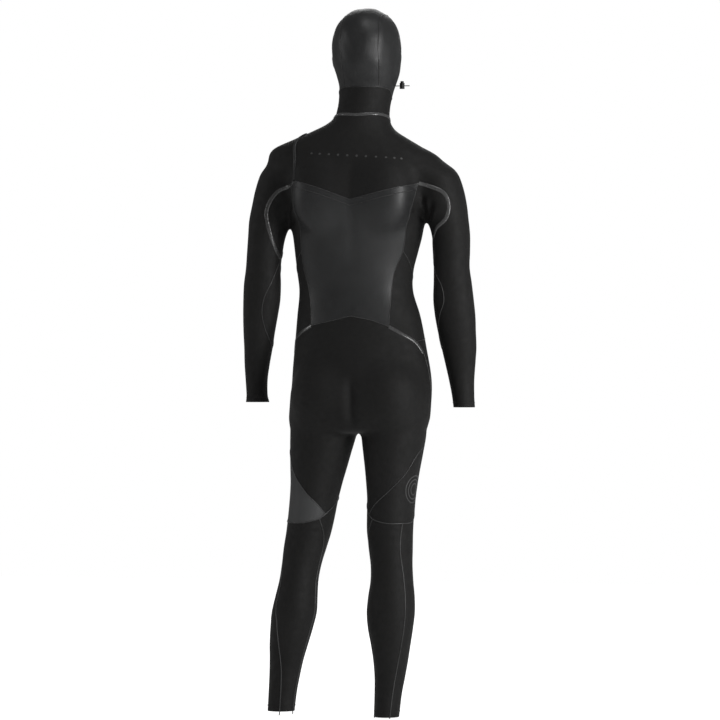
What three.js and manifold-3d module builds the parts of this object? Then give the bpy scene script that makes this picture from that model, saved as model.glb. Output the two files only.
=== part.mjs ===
// Hooded full wetsuit with a chest zip, drawn as a sewn garment over a standing body form.
// Millimetres, +Z up, the chest faces -Y and the wearer's left is +X. Heights below are taken
// from the left trouser hem; the finished suit is moved so that its neck seam is the origin.
import * as THREE from "three";
import Module from "manifold-3d";

const wasm = await Module();
wasm.setup();

// ---- Driving dimensions ----
const SHEET = 4.5; // neoprene thickness
const GAP = 0.3; // clearance between neighbouring pieces
const TAPE_WIDTH = 9.5;
const TAPE_TOP = 1.2; // outer face of the seam tapes above the skin
const STRIP_WIDTH = 9;
const STRIP_TOP = 3; // the raised shoulder strip
const ARMPIT = 1220;
const CROTCH = 693;
const NECK = new THREE.Vector3(-11, 14, 1500); // centre of the neck seam, the origin of the part
const ELBOW = { top: 1140, axis: 1088, bottom: 1036 };
const KNEE = { axis: 428, bottom: 372 };
const CORE_SIDES = 22;
const ARM_SIDES = 10;
const LEG_SIDES = 12;

// ---- Body form ----
// A limb is a stack of ellipses: [height, centre x, centre y, half-width, half-depth].
const limb = (side, stations) => ({ side, stations });
const trunk = limb(1, [
  [704, -2, 14, 158, 98], [720, -3, 15, 174, 106], [770, -7, 16, 180, 113], [837, -10, 12, 178, 112],
  [917, -4, 1, 169, 101], [998, 3, -9, 158, 90], [1060, 10, -11, 146, 90], [1110, 12, -9, 149, 96],
  [1160, 8, -6, 158, 104], [1200, 4, -3, 165, 112], [1260, 1, 2, 172, 120], [1320, -2, 7, 184, 119],
  [1361, 2, 12, 205, 108], [1385, 9, 15, 212, 96], [1405, 17, 17, 208, 86], [1423, 24, 19, 186, 78],
  [1441, 18, 21, 150, 72], [1462, 8, 22, 108, 67], [1482, -5, 19, 80, 64], [1502, -11, 14, 67, 61],
  [1522, -13, 8, 63, 60], [1542, -15, 3, 61, 60], [1560, -16, 0, 58, 56],
]);
const head = limb(1, [
  [1490, -12, 10, 58, 56], [1530, -15, -4, 60, 62], [1562, -17, -12, 67, 72], [1583, -19, -12, 72, 82],
  [1603, -20, -8, 78, 91], [1630, -20, -2, 84, 98], [1660, -20, 1, 86, 101], [1690, -20, 2, 85, 101],
  [1715, -20, 2, 80, 96], [1738, -20, 2, 67, 84], [1756, -20, 2, 49, 63], [1768, -20, 2, 27, 34],
  [1772, -20, 2, 8, 10],
]);
const leftLeg = limb(1, [
  [0, 202, 2, 34, 37], [50, 197, 4, 36, 38], [91, 191, 8, 39, 40], [131, 185, 12, 43, 45],
  [171, 178, 16, 49, 51], [212, 170, 19, 54, 56], [252, 163, 20, 57, 58], [292, 158, 17, 53, 58],
  [333, 153, 11, 49, 56], [373, 147, 6, 50, 56], [413, 139, 3, 54, 58], [454, 130, 0, 57, 61],
  [494, 123, 0, 59, 66], [534, 117, 0, 61, 70], [575, 110, 2, 65, 74], [615, 104, 4, 71, 78],
  [655, 98, 6, 77, 83], [696, 91, 8, 83, 89], [740, 87, 12, 84, 96], [800, 84, 12, 78, 94],
]);
const rightLeg = limb(-1, [
  [-10, -72, 2, 31, 37], [50, -77, 4, 34, 38], [91, -82, 8, 38, 40], [131, -85, 12, 43, 45],
  [171, -86, 16, 49, 51], [212, -86, 19, 56, 56], [252, -87, 20, 60, 58], [292, -88, 17, 58, 58],
  [333, -88, 11, 53, 56], [373, -86, 6, 52, 56], [413, -83, 3, 55, 58], [454, -80, 0, 58, 61],
  [494, -81, 0, 59, 66], [534, -83, 0, 60, 70], [575, -85, 2, 64, 74], [615, -87, 4, 69, 78],
  [655, -89, 6, 75, 83], [696, -91, 8, 81, 89], [740, -90, 12, 84, 96], [800, -88, 12, 78, 94],
]);
const leftArm = limb(1, [
  [780, 274, -40, 30, 30], [796, 275, -38, 27, 29], [837, 275, -33, 28, 31], [877, 272, -27, 32, 34],
  [917, 267, -20, 36, 38], [958, 263, -13, 40, 42], [998, 258, -6, 44, 45], [1038, 253, 0, 47, 47],
  [1079, 250, 5, 47, 47], [1119, 247, 8, 44, 47], [1159, 243, 8, 45, 49], [1200, 238, 8, 47, 52],
  [1240, 231, 8, 51, 55], [1280, 219, 8, 55, 58], [1320, 206, 8, 59, 59], [1361, 190, 9, 60, 58],
  [1400, 176, 10, 48, 46],
]);
const rightArm = limb(-1, [
  [768, -262, -41, 27, 30], [796, -260, -38, 28, 30], [837, -257, -33, 32, 32], [877, -255, -27, 38, 35],
  [917, -253, -20, 44, 39], [958, -249, -13, 48, 43], [998, -246, -6, 51, 46], [1038, -243, 0, 51, 47],
  [1079, -242, 5, 48, 47], [1119, -240, 8, 45, 47], [1159, -240, 8, 46, 49], [1200, -238, 8, 48, 52],
  [1240, -231, 8, 51, 55], [1280, -221, 8, 56, 58], [1320, -208, 8, 60, 59], [1361, -192, 9, 60, 58],
  [1390, -180, 10, 50, 46],
]);
// Soft swellings on the form: centre, radii, blend.
const swellings = [
  { at: [80, 70, 800], size: [72, 66, 80], blend: 30 }, // seat
  { at: [-94, 70, 796], size: [72, 66, 80], blend: 30 },
  { at: [88, 92, 1300], size: [60, 42, 80], blend: 40 }, // shoulder blades
  { at: [-88, 92, 1300], size: [60, 42, 80], blend: 40 },
  { at: [82, -82, 1290], size: [78, 44, 62], blend: 40 }, // chest
  { at: [-82, -82, 1290], size: [78, 44, 62], blend: 40 },
];

// One limb's ellipse at a height, by cubic Hermite between its stations.
function section({ stations: s }, height) {
  const last = s.length - 1;
  const z = THREE.MathUtils.clamp(height, s[0][0], s[last][0]);
  let i = 0;
  while (i < last - 1 && s[i + 1][0] <= z) i++;
  const slope = (k, c) => {
    const a = Math.max(k - 1, 0), b = Math.min(k + 1, last);
    return (s[b][c] - s[a][c]) / (s[b][0] - s[a][0]);
  };
  const h = s[i + 1][0] - s[i][0], u = (z - s[i][0]) / h;
  return [1, 2, 3, 4].map((c) =>
    s[i][c] * (1 + 2 * u) * (1 - u) ** 2 + h * slope(i, c) * u * (1 - u) ** 2 +
    s[i + 1][c] * u * u * (3 - 2 * u) + h * slope(i + 1, c) * u * u * (u - 1));
}

// Approximate distance to a limb, negative inside.
function toLimb(part, x, y, z) {
  const [cx, cy, a, b] = section(part, z);
  const r = Math.hypot((x - cx) / a, (y - cy) / b) + 1e-9;
  const f = (r * (r - 1)) / (Math.hypot((x - cx) / (a * a), (y - cy) / (b * b)) + 1e-9);
  const s = part.stations;
  const beyond = Math.max(s[0][0] - z, z - s[s.length - 1][0]);
  return beyond > 0 ? Math.hypot(Math.max(f, 0), beyond) : f;
}

function toSwelling({ at, size }, x, y, z) {
  const q = [(x - at[0]) / size[0], (y - at[1]) / size[1], (z - at[2]) / size[2]];
  const r = Math.hypot(...q) + 1e-9;
  return (r * (r - 1)) / (Math.hypot(...q.map((v, i) => v / size[i])) + 1e-9);
}

const blended = (a, b, k) => {
  const h = Math.max(k - Math.abs(a - b), 0) / k;
  return Math.min(a, b) - (h * h * k) / 4;
};

// Distance-like field of the whole body form.
function body(x, y, z) {
  let f = blended(toLimb(trunk, x, y, z), toLimb(leftArm, x, y, z), 34);
  f = blended(f, toLimb(rightArm, x, y, z), 34);
  f = blended(f, blended(toLimb(leftLeg, x, y, z), toLimb(rightLeg, x, y, z), 10), 34);
  f = blended(f, toLimb(head, x, y, z), 20);
  for (const s of swellings) f = blended(f, toSwelling(s, x, y, z), s.blend);
  return f;
}

function gradient({ x, y, z }) {
  const e = 0.5, f = body(x, y, z);
  return new THREE.Vector3(body(x + e, y, z) - f, body(x, y + e, z) - f, body(x, y, z + e) - f)
    .divideScalar(e);
}

// The point of the skin, raised by offset, on a level ray from (cx, cy). Rays from the trunk
// above the armpits run out to the last crossing, so that they take in the shoulders.
function castRay(cx, cy, z, dx, dy, offset, outermost) {
  const n = Math.hypot(dx, dy);
  const at = (t) => new THREE.Vector3(cx + (dx / n) * t, cy + (dy / n) * t, z);
  const value = (t) => { const p = at(t); return body(p.x, p.y, p.z); };
  const root = (level, from, to) => {
    let lo = from, hi = to;
    for (let i = 0; i < 26; i++) {
      const mid = (lo + hi) / 2;
      if (value(mid) < level) lo = mid; else hi = mid;
    }
    return (lo + hi) / 2;
  };
  let lo = 0;
  if (outermost) { lo = 330; while (lo > 3 && value(lo) > 0) lo -= 3; }
  else while (lo < 330 && value(lo + 3) < 0) lo += 3;
  const skin = root(0, lo, lo + 3);
  if (!offset) return at(skin);
  const level = offset * Math.min(gradient(at(skin)).length(), 6);
  const near = Math.max(skin - 45, 0);
  return at(root(level, offset < 0 ? near : skin, offset < 0 ? skin : skin + 45));
}

// A place on the skin: limb, height, and angle in degrees from the front (0) by the limb's
// outer side (90) and back (180) to its inner side (270). On trunk and head 90 is the left.
function on(part, z, degrees, offset = 0) {
  const [cx, cy, a, b] = section(part, z);
  const t = THREE.MathUtils.degToRad(degrees);
  const core = part === trunk || part === head;
  return castRay(cx, cy, z, part.side * a * Math.sin(t), -b * Math.cos(t), offset, core && z > ARMPIT);
}

// ---- Solids ----
function solidOf(points, triangles) {
  const vertProperties = new Float32Array(points.flatMap((p) => [p.x, p.y, p.z]));
  const build = (triVerts) => new wasm.Manifold(new wasm.Mesh({ numProp: 3, vertProperties, triVerts }));
  const solid = build(new Uint32Array(triangles.flat()));
  if (solid.volume() > 0) return solid;
  return build(new Uint32Array(triangles.flatMap(([a, b, c]) => [a, c, b])));
}

function fromGeometry(geometry) {
  const position = geometry.getAttribute("position");
  const keys = new Map(), points = [], remap = [];
  for (let i = 0; i < position.count; i++) {
    const p = new THREE.Vector3().fromBufferAttribute(position, i);
    const key = [p.x, p.y, p.z].map((v) => Math.round(v * 1e3)).join();
    if (!keys.has(key)) { keys.set(key, points.length); points.push(p); }
    remap.push(keys.get(key));
  }
  const index = geometry.index ? [...geometry.index.array] : remap.map((_, i) => i);
  const triangles = [];
  for (let i = 0; i < index.length; i += 3) {
    const t = [remap[index[i]], remap[index[i + 1]], remap[index[i + 2]]];
    if (new Set(t).size === 3) triangles.push(t);
  }
  return solidOf(points, triangles);
}

// A closed solid through rings of equal count; looped joins the last ring to the first. The two
// halves of a ring split their quads along mirrored diagonals, so a twisted ribbon stays even.
function loft(rings, looped = false) {
  const n = rings[0].length, points = rings.flat(), triangles = [];
  for (let r = 0; r < rings.length - (looped ? 0 : 1); r++)
    for (let i = 0; i < n; i++) {
      const j = (i + 1) % n, a = r * n, b = ((r + 1) % rings.length) * n;
      if (2 * i < n) triangles.push([a + i, a + j, b + j], [a + i, b + j, b + i]);
      else triangles.push([a + i, a + j, b + i], [a + j, b + j, b + i]);
    }
  for (const [start, low] of looped ? [] : [[0, true], [(rings.length - 1) * n, false]]) {
    const ring = points.slice(start, start + n);
    const centre = ring.reduce((c, p) => c.add(p), new THREE.Vector3()).divideScalar(n);
    const c = points.push(centre) - 1;
    for (let i = 0; i < n; i++) {
      const j = (i + 1) % n;
      triangles.push(low ? [c, start + j, start + i] : [c, start + i, start + j]);
    }
  }
  return solidOf(points, triangles);
}

const ringOn = (part, z, sides, offset) =>
  Array.from({ length: sides }, (_, i) => on({ ...part, side: 1 }, z, (360 * i) / sides, offset));

// The trunk's rays start from a point that moves from the trunk's axis to the head's.
function coreRing(z, offset) {
  const w = THREE.MathUtils.smoothstep(z, 1500, 1560);
  const [cx, cy, a, b] = section(trunk, z).map((v, i) => v * (1 - w) + section(head, z)[i] * w);
  return Array.from({ length: CORE_SIDES }, (_, i) => {
    const t = (2 * Math.PI * i) / CORE_SIDES;
    return castRay(cx, cy, z, a * Math.sin(t), -b * Math.cos(t), offset, true);
  });
}

const CORE_HEIGHTS = [CROTCH, 715, 760, 830, 900, 980, 1060, 1140, ARMPIT - 2];
const UPPER_HEIGHTS = [
  ARMPIT, 1275, 1330, 1368, 1392, 1412, 1430, 1450, 1472, 1500, 1540, 1580, 1630, 1685, 1722, 1748, 1760,
];
const CROWN = 1768;
const ARM_HEIGHTS = [800, 880, 960, 1030, 1100, 1165, ARMPIT - 2];
const LEG_HEIGHTS = [75, 150, 215, 280, 350, 430, 510, 590, 650, CROTCH - 2];

// The whole form raised by offset. With runOut the limbs are lengthened past their hems, which
// opens the suit, and up through the sheet that closes the crotch and the armpits.
function form(offset, runOut = 0) {
  const limbLoft = (part, heights, sides) => {
    const end = part.stations[0][0];
    const rings = [end, ...heights].map((z) => ringOn(part, z, sides, offset));
    if (runOut) rings.unshift(drawn(rings[0], -runOut));
    return loft([...rings, drawn(rings[rings.length - 1], overlap)]);
  };
  const overlap = runOut ? 2 + 2 * SHEET : 4;
  const drawn = (ring, by) => ring.map((p) => p.clone().setZ(p.z + by));
  const raised = ([first, ...rest]) => [first - offset, ...rest]; // crotch and armpits are sheet too
  const torso = raised(CORE_HEIGHTS)
    .map((z) => (z < 740 ? coreRing(z, offset) : ringOn(trunk, z, CORE_SIDES, offset)));
  torso.push(drawn(torso[torso.length - 1], overlap));
  return [
    loft(torso),
    loft([...raised(UPPER_HEIGHTS), CROWN + offset].map((z) => coreRing(z, offset))),
    limbLoft(leftArm, ARM_HEIGHTS, ARM_SIDES),
    limbLoft(rightArm, ARM_HEIGHTS, ARM_SIDES),
    limbLoft(leftLeg, LEG_HEIGHTS, LEG_SIDES),
    limbLoft(rightLeg, LEG_HEIGHTS, LEG_SIDES),
  ].reduce((a, b) => a.add(b));
}


// ---- Seams ----
// A ribbon on the skin through the given places: width across it, low to high along its normal.
// A closed ribbon is a loop; an open one is lengthened at its ends by runOut.
function ribbon(places, { width = GAP, low = -26, high = 20, closed = false, runOut = [0.8, 0.8] } = {}) {
  const curve = new THREE.CatmullRomCurve3(places, closed, "centripetal");
  const spans = places.length - (closed ? 0 : 1);
  const path = [];
  for (let i = 0; i < spans; i++) {
    const steps = Math.max(1, Math.round(places[i].distanceTo(places[(i + 1) % places.length]) / 55));
    for (let k = 0; k < steps; k++) path.push(curve.getPoint((i + k / steps) / spans));
  }
  if (!closed) path.push(places[places.length - 1].clone());
  for (const p of path)
    for (let k = 0; k < 4; k++) {
      const g = gradient(p);
      p.addScaledVector(g, -body(p.x, p.y, p.z) / Math.max(g.lengthSq(), 0.05));
    }
  const last = path.length - 1;
  const normals = path.map((p) => gradient(p).normalize());
  if (!closed) {
    path[0].add(path[0].clone().sub(path[1]).setLength(runOut[0]));
    path[last].add(path[last].clone().sub(path[last - 1]).setLength(runOut[1]));
  }
  const at = (i) =>
    closed ? path[(i + path.length) % path.length] : path[THREE.MathUtils.clamp(i, 0, last)];
  return loft(path.map((p, i) => {
    const n = normals[i];
    const across = at(i + 1).clone().sub(at(i - 1)).cross(n).setLength(width / 2);
    return [[-1, low], [1, low], [1, high], [-1, high]].map(([s, h]) =>
      p.clone().addScaledVector(across, s).addScaledVector(n, h));
  }), closed);
}

const seam = (part, list) => list.map(([z, degrees]) => on(part, z, degrees));
const box = (width, depth, height, x, y, z) =>
  fromGeometry(new THREE.BoxGeometry(width, depth, height).translate(x, y, z));

// What differs from side to side is the stance; the pattern is the same on both.
const sides = [
  {
    name: "left", arm: leftArm, leg: leftLeg, turn: (d) => d,
    back: [[1336, 138], [1322, 137.5], [1298, 137], [1202, 127], [1160, 126], [1110, 128], [1071, 132],
      [973, 138]],
    waist: [[953, 118], [935, 104]],
    underarm: [[1300, 188], [1260, 181], [1215, 200], [1174, 226]],
    forearm: [[1089, 227], [1046, 202], [1008, 198], [970, 213], [942, 236]],
    calf: [[478, 128], [401, 118], [315, 134], [267, 137], [214, 151], [118, 177], [1, 188]],
    thigh: [[648, 111], [600, 138], [556, 172], [522, 208]],
  },
  {
    name: "right", arm: rightArm, leg: rightLeg, turn: (d) => 360 - d,
    back: [[1328, 121], [1314, 121.5], [1290, 123], [1225, 125], [1160, 123], [1110, 129], [1046, 136],
      [970, 145]],
    waist: [[950, 130], [932, 115]],
    underarm: [[1303, 162], [1272, 158], [1240, 171], [1212, 206], [1174, 230]],
    forearm: [[1100, 227], [1074, 205], [1035, 198], [1000, 218], [960, 243]],
    calf: [[478, 135], [416, 142], [345, 134], [270, 132], [204, 133], [118, 144], [-9, 153]],
    thigh: [[653, 109], [602, 137], [559, 172], [525, 208]],
  },
];
const [left, right] = sides;
const mirrorSeam = (part, list) => seam(part, list.map(([z, d]) => [z, 540 - d]));

// The named lines of the pattern.
const lines = {
  hoodEdge: seam(head, [[1571, 180], [1571, 140], [1565, 111], [1550, 92], [1538, 50], [1531, 0],
    [1538, 310], [1550, 268], [1565, 249], [1571, 220]]),
  neck: seam(trunk, [[1501, 180], [1503, 130], [1497, 95], [1480, 50], [1466, 0], [1480, 310], [1497, 265],
    [1503, 230]]),
  zip: seam(trunk, [[1392, 42], [1392, 20], [1392, 0], [1392, 340], [1392, 318]]),
  chin: seam(head, [[1592, 0], [1560, 0], [1531, 0]]),
  shoulder: seam(trunk, [[1336, 138], [1366, 139], [1391, 141], [1425, 129], [1442, 120], [1455, 100], [1452, 75],
    [1436, 55], [1414, 46], [1392, 42]]),
  frontWaist: seam(trunk, [[935, 104], [942, 78], [958, 50], [985, 22], [992, 0], [985, 338], [958, 310],
    [942, 282], [932, 245]]),
};
const backTop = { left: [[1315, 160], [1287, 181]], right: [[1309, 206], [1287, 181]] };
const crotch = new THREE.Vector3(-2, 2, 699);

for (const side of sides) {
  const { name, arm, leg, turn } = side;
  const onTrunk = (list) => seam(trunk, list.map(([z, d]) => [z, turn(d)]));
  const corner = onTrunk([side.back[0]])[0];
  const elbowPoint = on(arm, ELBOW.top, 262);
  const kneeBack = on(leg, 500, 230), kneeSide = on(leg, 498, 76);
  const apex = on(leg, 527, 263), hip = on(leg, 675, 82);
  const peak = seam(trunk, backTop[name]);
  Object.assign(side, {
    corner,
    lines: {
      hood: onTrunk([]).concat(seam(head, [[1571, 140], [1605, 144], [1660, 146], [1705, 144], [1738, 136],
        [1754, 105], [1751, 72], [1736, 50], [1716, 36], [1694, 30]].map(([z, d]) => [z, turn(d)]))),
      back: onTrunk(side.back),
      backTop: [corner, ...peak],
      bandEdge: [onTrunk([side.back[1]])[0], ...peak.map((p) => p.clone().setZ(p.z - 15))],
      backBottom: [onTrunk([side.back[side.back.length - 1]])[0], ...onTrunk([[985, 160], [997, 180]])],
      sideSeam: onTrunk([side.back[4], [1134, 109], [1109, 94], [1087, 74], [1075, 54]]),
      chestEdge: onTrunk([[1392, 42], [1330, 47], [1222, 50], [1140, 52], [1075, 54], [1010, 52], [958, 50]]),
      hipSeam: [...onTrunk([side.back[side.back.length - 1], ...side.waist, [905, 103], [844, 96], [799, 91]]),
        on(leg, 740, 84), on(leg, 705, 82), hip],
      underarmBack: [corner, ...seam(arm, side.underarm), elbowPoint],
      underarmFront: [...onTrunk([[1330, 47]]), ...mirrorSeam(arm, side.underarm), elbowPoint],
      forearmBack: [elbowPoint, ...seam(arm, side.forearm), on(arm, 915, 268)],
      forearmFront: [elbowPoint, ...mirrorSeam(arm, side.forearm), on(arm, 915, 268)],
      thigh: [hip, ...seam(leg, side.thigh), kneeBack],
      thighFront: [hip, ...seam(leg, [[610, 72], [550, 70]]), kneeSide],
      knee: [kneeBack, apex, ...seam(leg, [[543, 300], [552, 340], [552, 15], [530, 48]]), kneeSide,
        ...seam(leg, [[481, 100], side.calf[0], [479, 178], [489, 215]])],
      inseam: [crotch, ...seam(leg, [[670, 276], [630, 277], [580, 273]]), apex],
      calfOuter: seam(leg, side.calf),
      calfInner: seam(leg, [[489, 215], [441, 240], [381, 254], [300, 256], [200, 254], [100, 254],
        [leg.stations[0][0] + 1, 254]]),
    },
  });
}

// ---- Panels: the neoprene sheet cut along its seams ----
const ARMPIT_REACH = { low: -34, high: 26 }; // deeper, because the form turns sharply there
const skin = form(0);
const FACE = new THREE.Vector3(-20, -60, 1640); // face opening, an ellipse seen from the front
const faceCut = (grow) => fromGeometry(new THREE.CylinderGeometry(1, 1, 140, 28)
  .scale(56 + grow, 1, 64 + grow).translate(FACE.x, FACE.y - 40, FACE.z));
const saddle = box(12, 24, 9, crotch.x, 12, 701.5); // evens the inside where the legs meet
const sheet = skin.subtract(form(-SHEET, 20)).subtract(saddle);
const binding = sheet.intersect(faceCut(8)).subtract(faceCut(0));
let pattern = sheet.subtract(faceCut(8 + GAP));
const cuts = [
  ribbon(lines.hoodEdge, { closed: true }), ribbon(lines.neck, { closed: true }),
  ribbon(lines.zip), ribbon(lines.shoulder), ribbon(lines.frontWaist), ribbon(lines.chin),
  box(44, GAP, 50, crotch.x, crotch.y, crotch.z), // under the crotch, where both inseams meet
];
for (const { arm, leg, lines: l } of sides) {
  const { knee, calfOuter, calfInner, inseam, underarmBack, underarmFront, ...rest } = l;
  cuts.push(ribbon(knee, { closed: true }), ...Object.values(rest).map((places) => ribbon(places)));
  cuts.push(ribbon(underarmBack, ARMPIT_REACH), ribbon(underarmFront, ARMPIT_REACH));
  cuts.push(ribbon(inseam, { high: 9 }));
  cuts.push(...[calfOuter, calfInner].map((places) => ribbon(places, { runOut: [0.8, 8] })));
  for (const z of [ELBOW.top, ELBOW.bottom]) {
    const [x, y] = section(arm, z);
    cuts.push(box(124, 150, GAP, x, y, z));
  }
  const [x, y] = section(leg, KNEE.bottom);
  cuts.push(box(140, 160, GAP, x, y, KNEE.bottom));
}
pattern = pattern.subtract(cuts.reduce((a, b) => a.add(b)));

// ---- Scene ----
const suit = new THREE.Group();
const cloth = (color, roughness) => new THREE.MeshStandardMaterial({ color, roughness, metalness: 0 });
const jersey = cloth(0x211f1e, 0.85); // black nylon jersey over neoprene
const smooth = cloth(0x4a4a4c, 0.5); // grey smooth-skin neoprene
const grey = cloth(0x6e6e72, 0.6); // light grey knee panel
const tape = cloth(0x8c8c90, 0.3); // glossy seam tape
const plastic = cloth(0x141414, 0.45);
const steel = new THREE.MeshStandardMaterial({ color: 0xb9bbbd, roughness: 0.3, metalness: 1 });

function toGeometry(solid) {
  const { vertProperties, triVerts } = solid.getMesh();
  const geometry = new THREE.BufferGeometry();
  geometry.setAttribute("position", new THREE.BufferAttribute(new Float32Array(vertProperties), 3));
  return geometry.setIndex([...triVerts]);
}

// The largest body of a solid, with slivers and needle edges left by the cutting dropped.
const clean = (solid) =>
  fromGeometry(toGeometry(solid)).decompose().sort((a, b) => b.volume() - a.volume())[0];

function add(name, solid, material) {
  const mesh = new THREE.Mesh(toGeometry(clean(solid)).translate(-NECK.x, -NECK.y, -NECK.z), material);
  mesh.name = name;
  suit.add(mesh);
}

// Each cut piece of the sheet takes the name of the place that lies on it.
const pieces = fromGeometry(toGeometry(pattern)).decompose().filter((piece) => piece.volume() > 1000);
function distanceTo(solid, point) {
  const { vertProperties: v, triVerts: t } = solid.getMesh();
  const corner = (k) => new THREE.Vector3(v[3 * t[k]], v[3 * t[k] + 1], v[3 * t[k] + 2]);
  const triangle = new THREE.Triangle(), nearest = new THREE.Vector3();
  let best = Infinity;
  for (let k = 0; k < t.length; k += 3) {
    triangle.set(corner(k), corner(k + 1), corner(k + 2)).closestPointToPoint(point, nearest);
    best = Math.min(best, nearest.distanceTo(point));
  }
  return best;
}
function panel(name, part, z, degrees, material) {
  const place = on(part, z, degrees, -SHEET / 2);
  const near = pieces.map((piece) => distanceTo(piece, place));
  const [piece] = pieces.splice(near.indexOf(Math.min(...near)), 1);
  add(name, piece, material);
}

panel("hood_centre", head, 1690, 181, smooth);
panel("collar", trunk, 1530, 180, jersey);
panel("back_panel", trunk, 1150, 180, smooth);
panel("back_band", trunk, 1279.5, 181, smooth);
panel("chest_panel", trunk, 1200, 0, smooth);
panel("front_panel", trunk, 850, 0, jersey);
panel("seat_panel", trunk, 850, 180, jersey);
panel("yoke_right_sleeve", trunk, 1400, 180, jersey);
panel("left_sleeve", leftArm, 1200, 90, jersey);
for (const { name, arm, leg, turn } of sides) {
  panel(`hood_side_${name}`, head, 1640, turn(110), smooth);
  panel(`underarm_${name}`, trunk, 1185, turn(90), jersey);
  panel(`side_panel_${name}`, trunk, 1030, turn(95), jersey);
  panel(`elbow_${name}`, arm, 1088, 90, jersey);
  panel(`elbow_inner_${name}`, arm, 1070, 262, jersey);
  panel(`forearm_inner_${name}`, arm, 990, 262, jersey);
  panel(`forearm_${name}`, arm, 880, 90, jersey);
  panel(`lower_thigh_${name}`, leg, 560, 112, name === "left" ? grey : jersey);
  panel(`knee_${name}`, leg, 428, 0, jersey);
  panel(`knee_back_${name}`, leg, 428, 185, jersey);
  panel(`shin_${name}`, leg, 200, 0, jersey);
  panel(`calf_${name}`, leg, 200, 205, jersey);
}
if (pieces.length) throw new Error(`${pieces.length} pieces of the sheet have no name`);
add("hood_face_binding", binding, jersey);


// ---- Seam tapes: strips of a thin layer that lies just above the sheet ----
const layer = form(TAPE_TOP).subtract(form(GAP));
const raisedLayer = form(STRIP_TOP).subtract(form(GAP));
const strip = (places, options = {}) =>
  ribbon(places, { width: TAPE_WIDTH, low: -20, high: 14, runOut: [0, 0], ...options });
const zipBand = strip(lines.zip, { width: 26, runOut: [-6, -6] });
const neckBand = strip(lines.neck, { closed: true });
add("neck_tape", layer.intersect(neckBand), tape);
add("zip_tape", layer.intersect(zipBand), jersey);
const shoulderPath = lines.shoulder.slice(0, -1);
add("shoulder_strip", raisedLayer
  .intersect(strip(shoulderPath, { width: STRIP_WIDTH, runOut: [-7, -4] }))
  .subtract(strip(lines.zip, { width: 27 })), smooth);
for (const { name, lines: l } of sides) {
  const back = strip(l.underarmBack, ARMPIT_REACH);
  const clearOfBack = strip(l.underarmBack, { ...ARMPIT_REACH, width: TAPE_WIDTH + 1 });
  const front = strip(l.underarmFront, ARMPIT_REACH).subtract(clearOfBack);
  add(`underarm_tape_${name}`, layer.intersect(back), tape);
  add(`underarm_front_tape_${name}`, layer.intersect(front), tape);
  add(`waist_tape_${name}`, layer.intersect(strip(l.hipSeam.slice(0, 4), { runOut: [-5, 0] })), tape);
}

// ---- Chest zip: teeth, stops, slider and pull on one arc about a vertical axis ----
const ZIP = { half: 112, height: 1392 };
const [zipA, zipM, zipB] = [36, 0, 324].map((d) => on(trunk, ZIP.height, d));
const zipCentre = (() => {
  const d = 2 * (zipA.x * (zipM.y - zipB.y) + zipM.x * (zipB.y - zipA.y) + zipB.x * (zipA.y - zipM.y));
  const q = (p) => p.x * p.x + p.y * p.y;
  return new THREE.Vector2(
    (q(zipA) * (zipM.y - zipB.y) + q(zipM) * (zipB.y - zipA.y) + q(zipB) * (zipA.y - zipM.y)) / d,
    (q(zipA) * (zipB.x - zipM.x) + q(zipM) * (zipA.x - zipB.x) + q(zipB) * (zipM.x - zipA.x)) / d);
})();
const zipRadius = zipCentre.distanceTo(new THREE.Vector2(zipM.x, zipM.y));
const zipNormal = gradient(zipM).normalize();
const tilt = Math.asin(zipNormal.z);
// A point by arc length along the zip (left is plus), height up the slope, and height off the cloth.
function onZip(along, up, off) {
  const angle = along / zipRadius, r = zipRadius + off * Math.cos(tilt) - up * Math.sin(tilt);
  return new THREE.Vector3(zipCentre.x + r * Math.sin(angle), zipCentre.y - r * Math.cos(angle),
    ZIP.height + off * Math.sin(tilt) + up * Math.cos(tilt));
}
function zipBlock(from, to, low, high, off0, off1) {
  const steps = Math.max(1, Math.round((to - from) / 14));
  return loft(Array.from({ length: steps + 1 }, (_, i) => {
    const along = from + ((to - from) * i) / steps;
    return [[low, off0], [high, off0], [high, off1], [low, off1]].map(([u, h]) => onZip(along, u, h));
  }));
}
const chain = { off: 2.6, high: 2.2 };
const parked = -ZIP.half + 8; // the closed zip's slider rests at the wearer's right
add("zip_teeth", zipBlock(-ZIP.half, ZIP.half, -2.6, 2.6, chain.off, chain.off + chain.high), plastic);
for (const [name, sign] of [["left", 1], ["right", -1]]) {
  const ends = [sign * (ZIP.half + GAP), sign * (ZIP.half + 7)].sort((a, b) => a - b);
  add(`zip_stop_${name}`, zipBlock(...ends, -4, 4, chain.off, chain.off + 3.4), plastic);
}
const top = chain.off + chain.high + GAP;
const sliderAt = (low, high, off0, off1) => zipBlock(parked - 7, parked + 7, low, high, off0, off1);
const lug = zipBlock(parked - 2, parked + 2, -2.6, 2.6, top + 1, top + 6.4);
const pivot = onZip(parked, 0, top + 4.2);
const along = onZip(parked + 1, 0, 0).sub(onZip(parked - 1, 0, 0)).normalize();
const off = onZip(parked, 0, 1).sub(onZip(parked, 0, 0)).normalize();
const up = onZip(parked, 1, 0).sub(onZip(parked, 0, 0)).normalize();
const turned = new THREE.Matrix4().makeBasis(along, up, off);
const placed = (geometry, x, y, z) =>
  fromGeometry(geometry.applyMatrix4(turned).translate(...pivot.clone()
    .addScaledVector(along, x).addScaledVector(up, y).addScaledVector(off, z).toArray()));
const rod = (radius, length) => new THREE.CylinderGeometry(radius, radius, length, 12).rotateZ(Math.PI / 2);
add("zip_slider", [
  sliderAt(-6.5, 6.5, top, top + 1.6),
  sliderAt(-6.5, -2.6 - GAP, chain.off - 0.6, top),
  sliderAt(2.6 + GAP, 6.5, chain.off - 0.6, top),
  lug,
].reduce((a, b) => a.add(b)).subtract(placed(rod(1.35, 8), 0, 0, 0)), steel);
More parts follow.
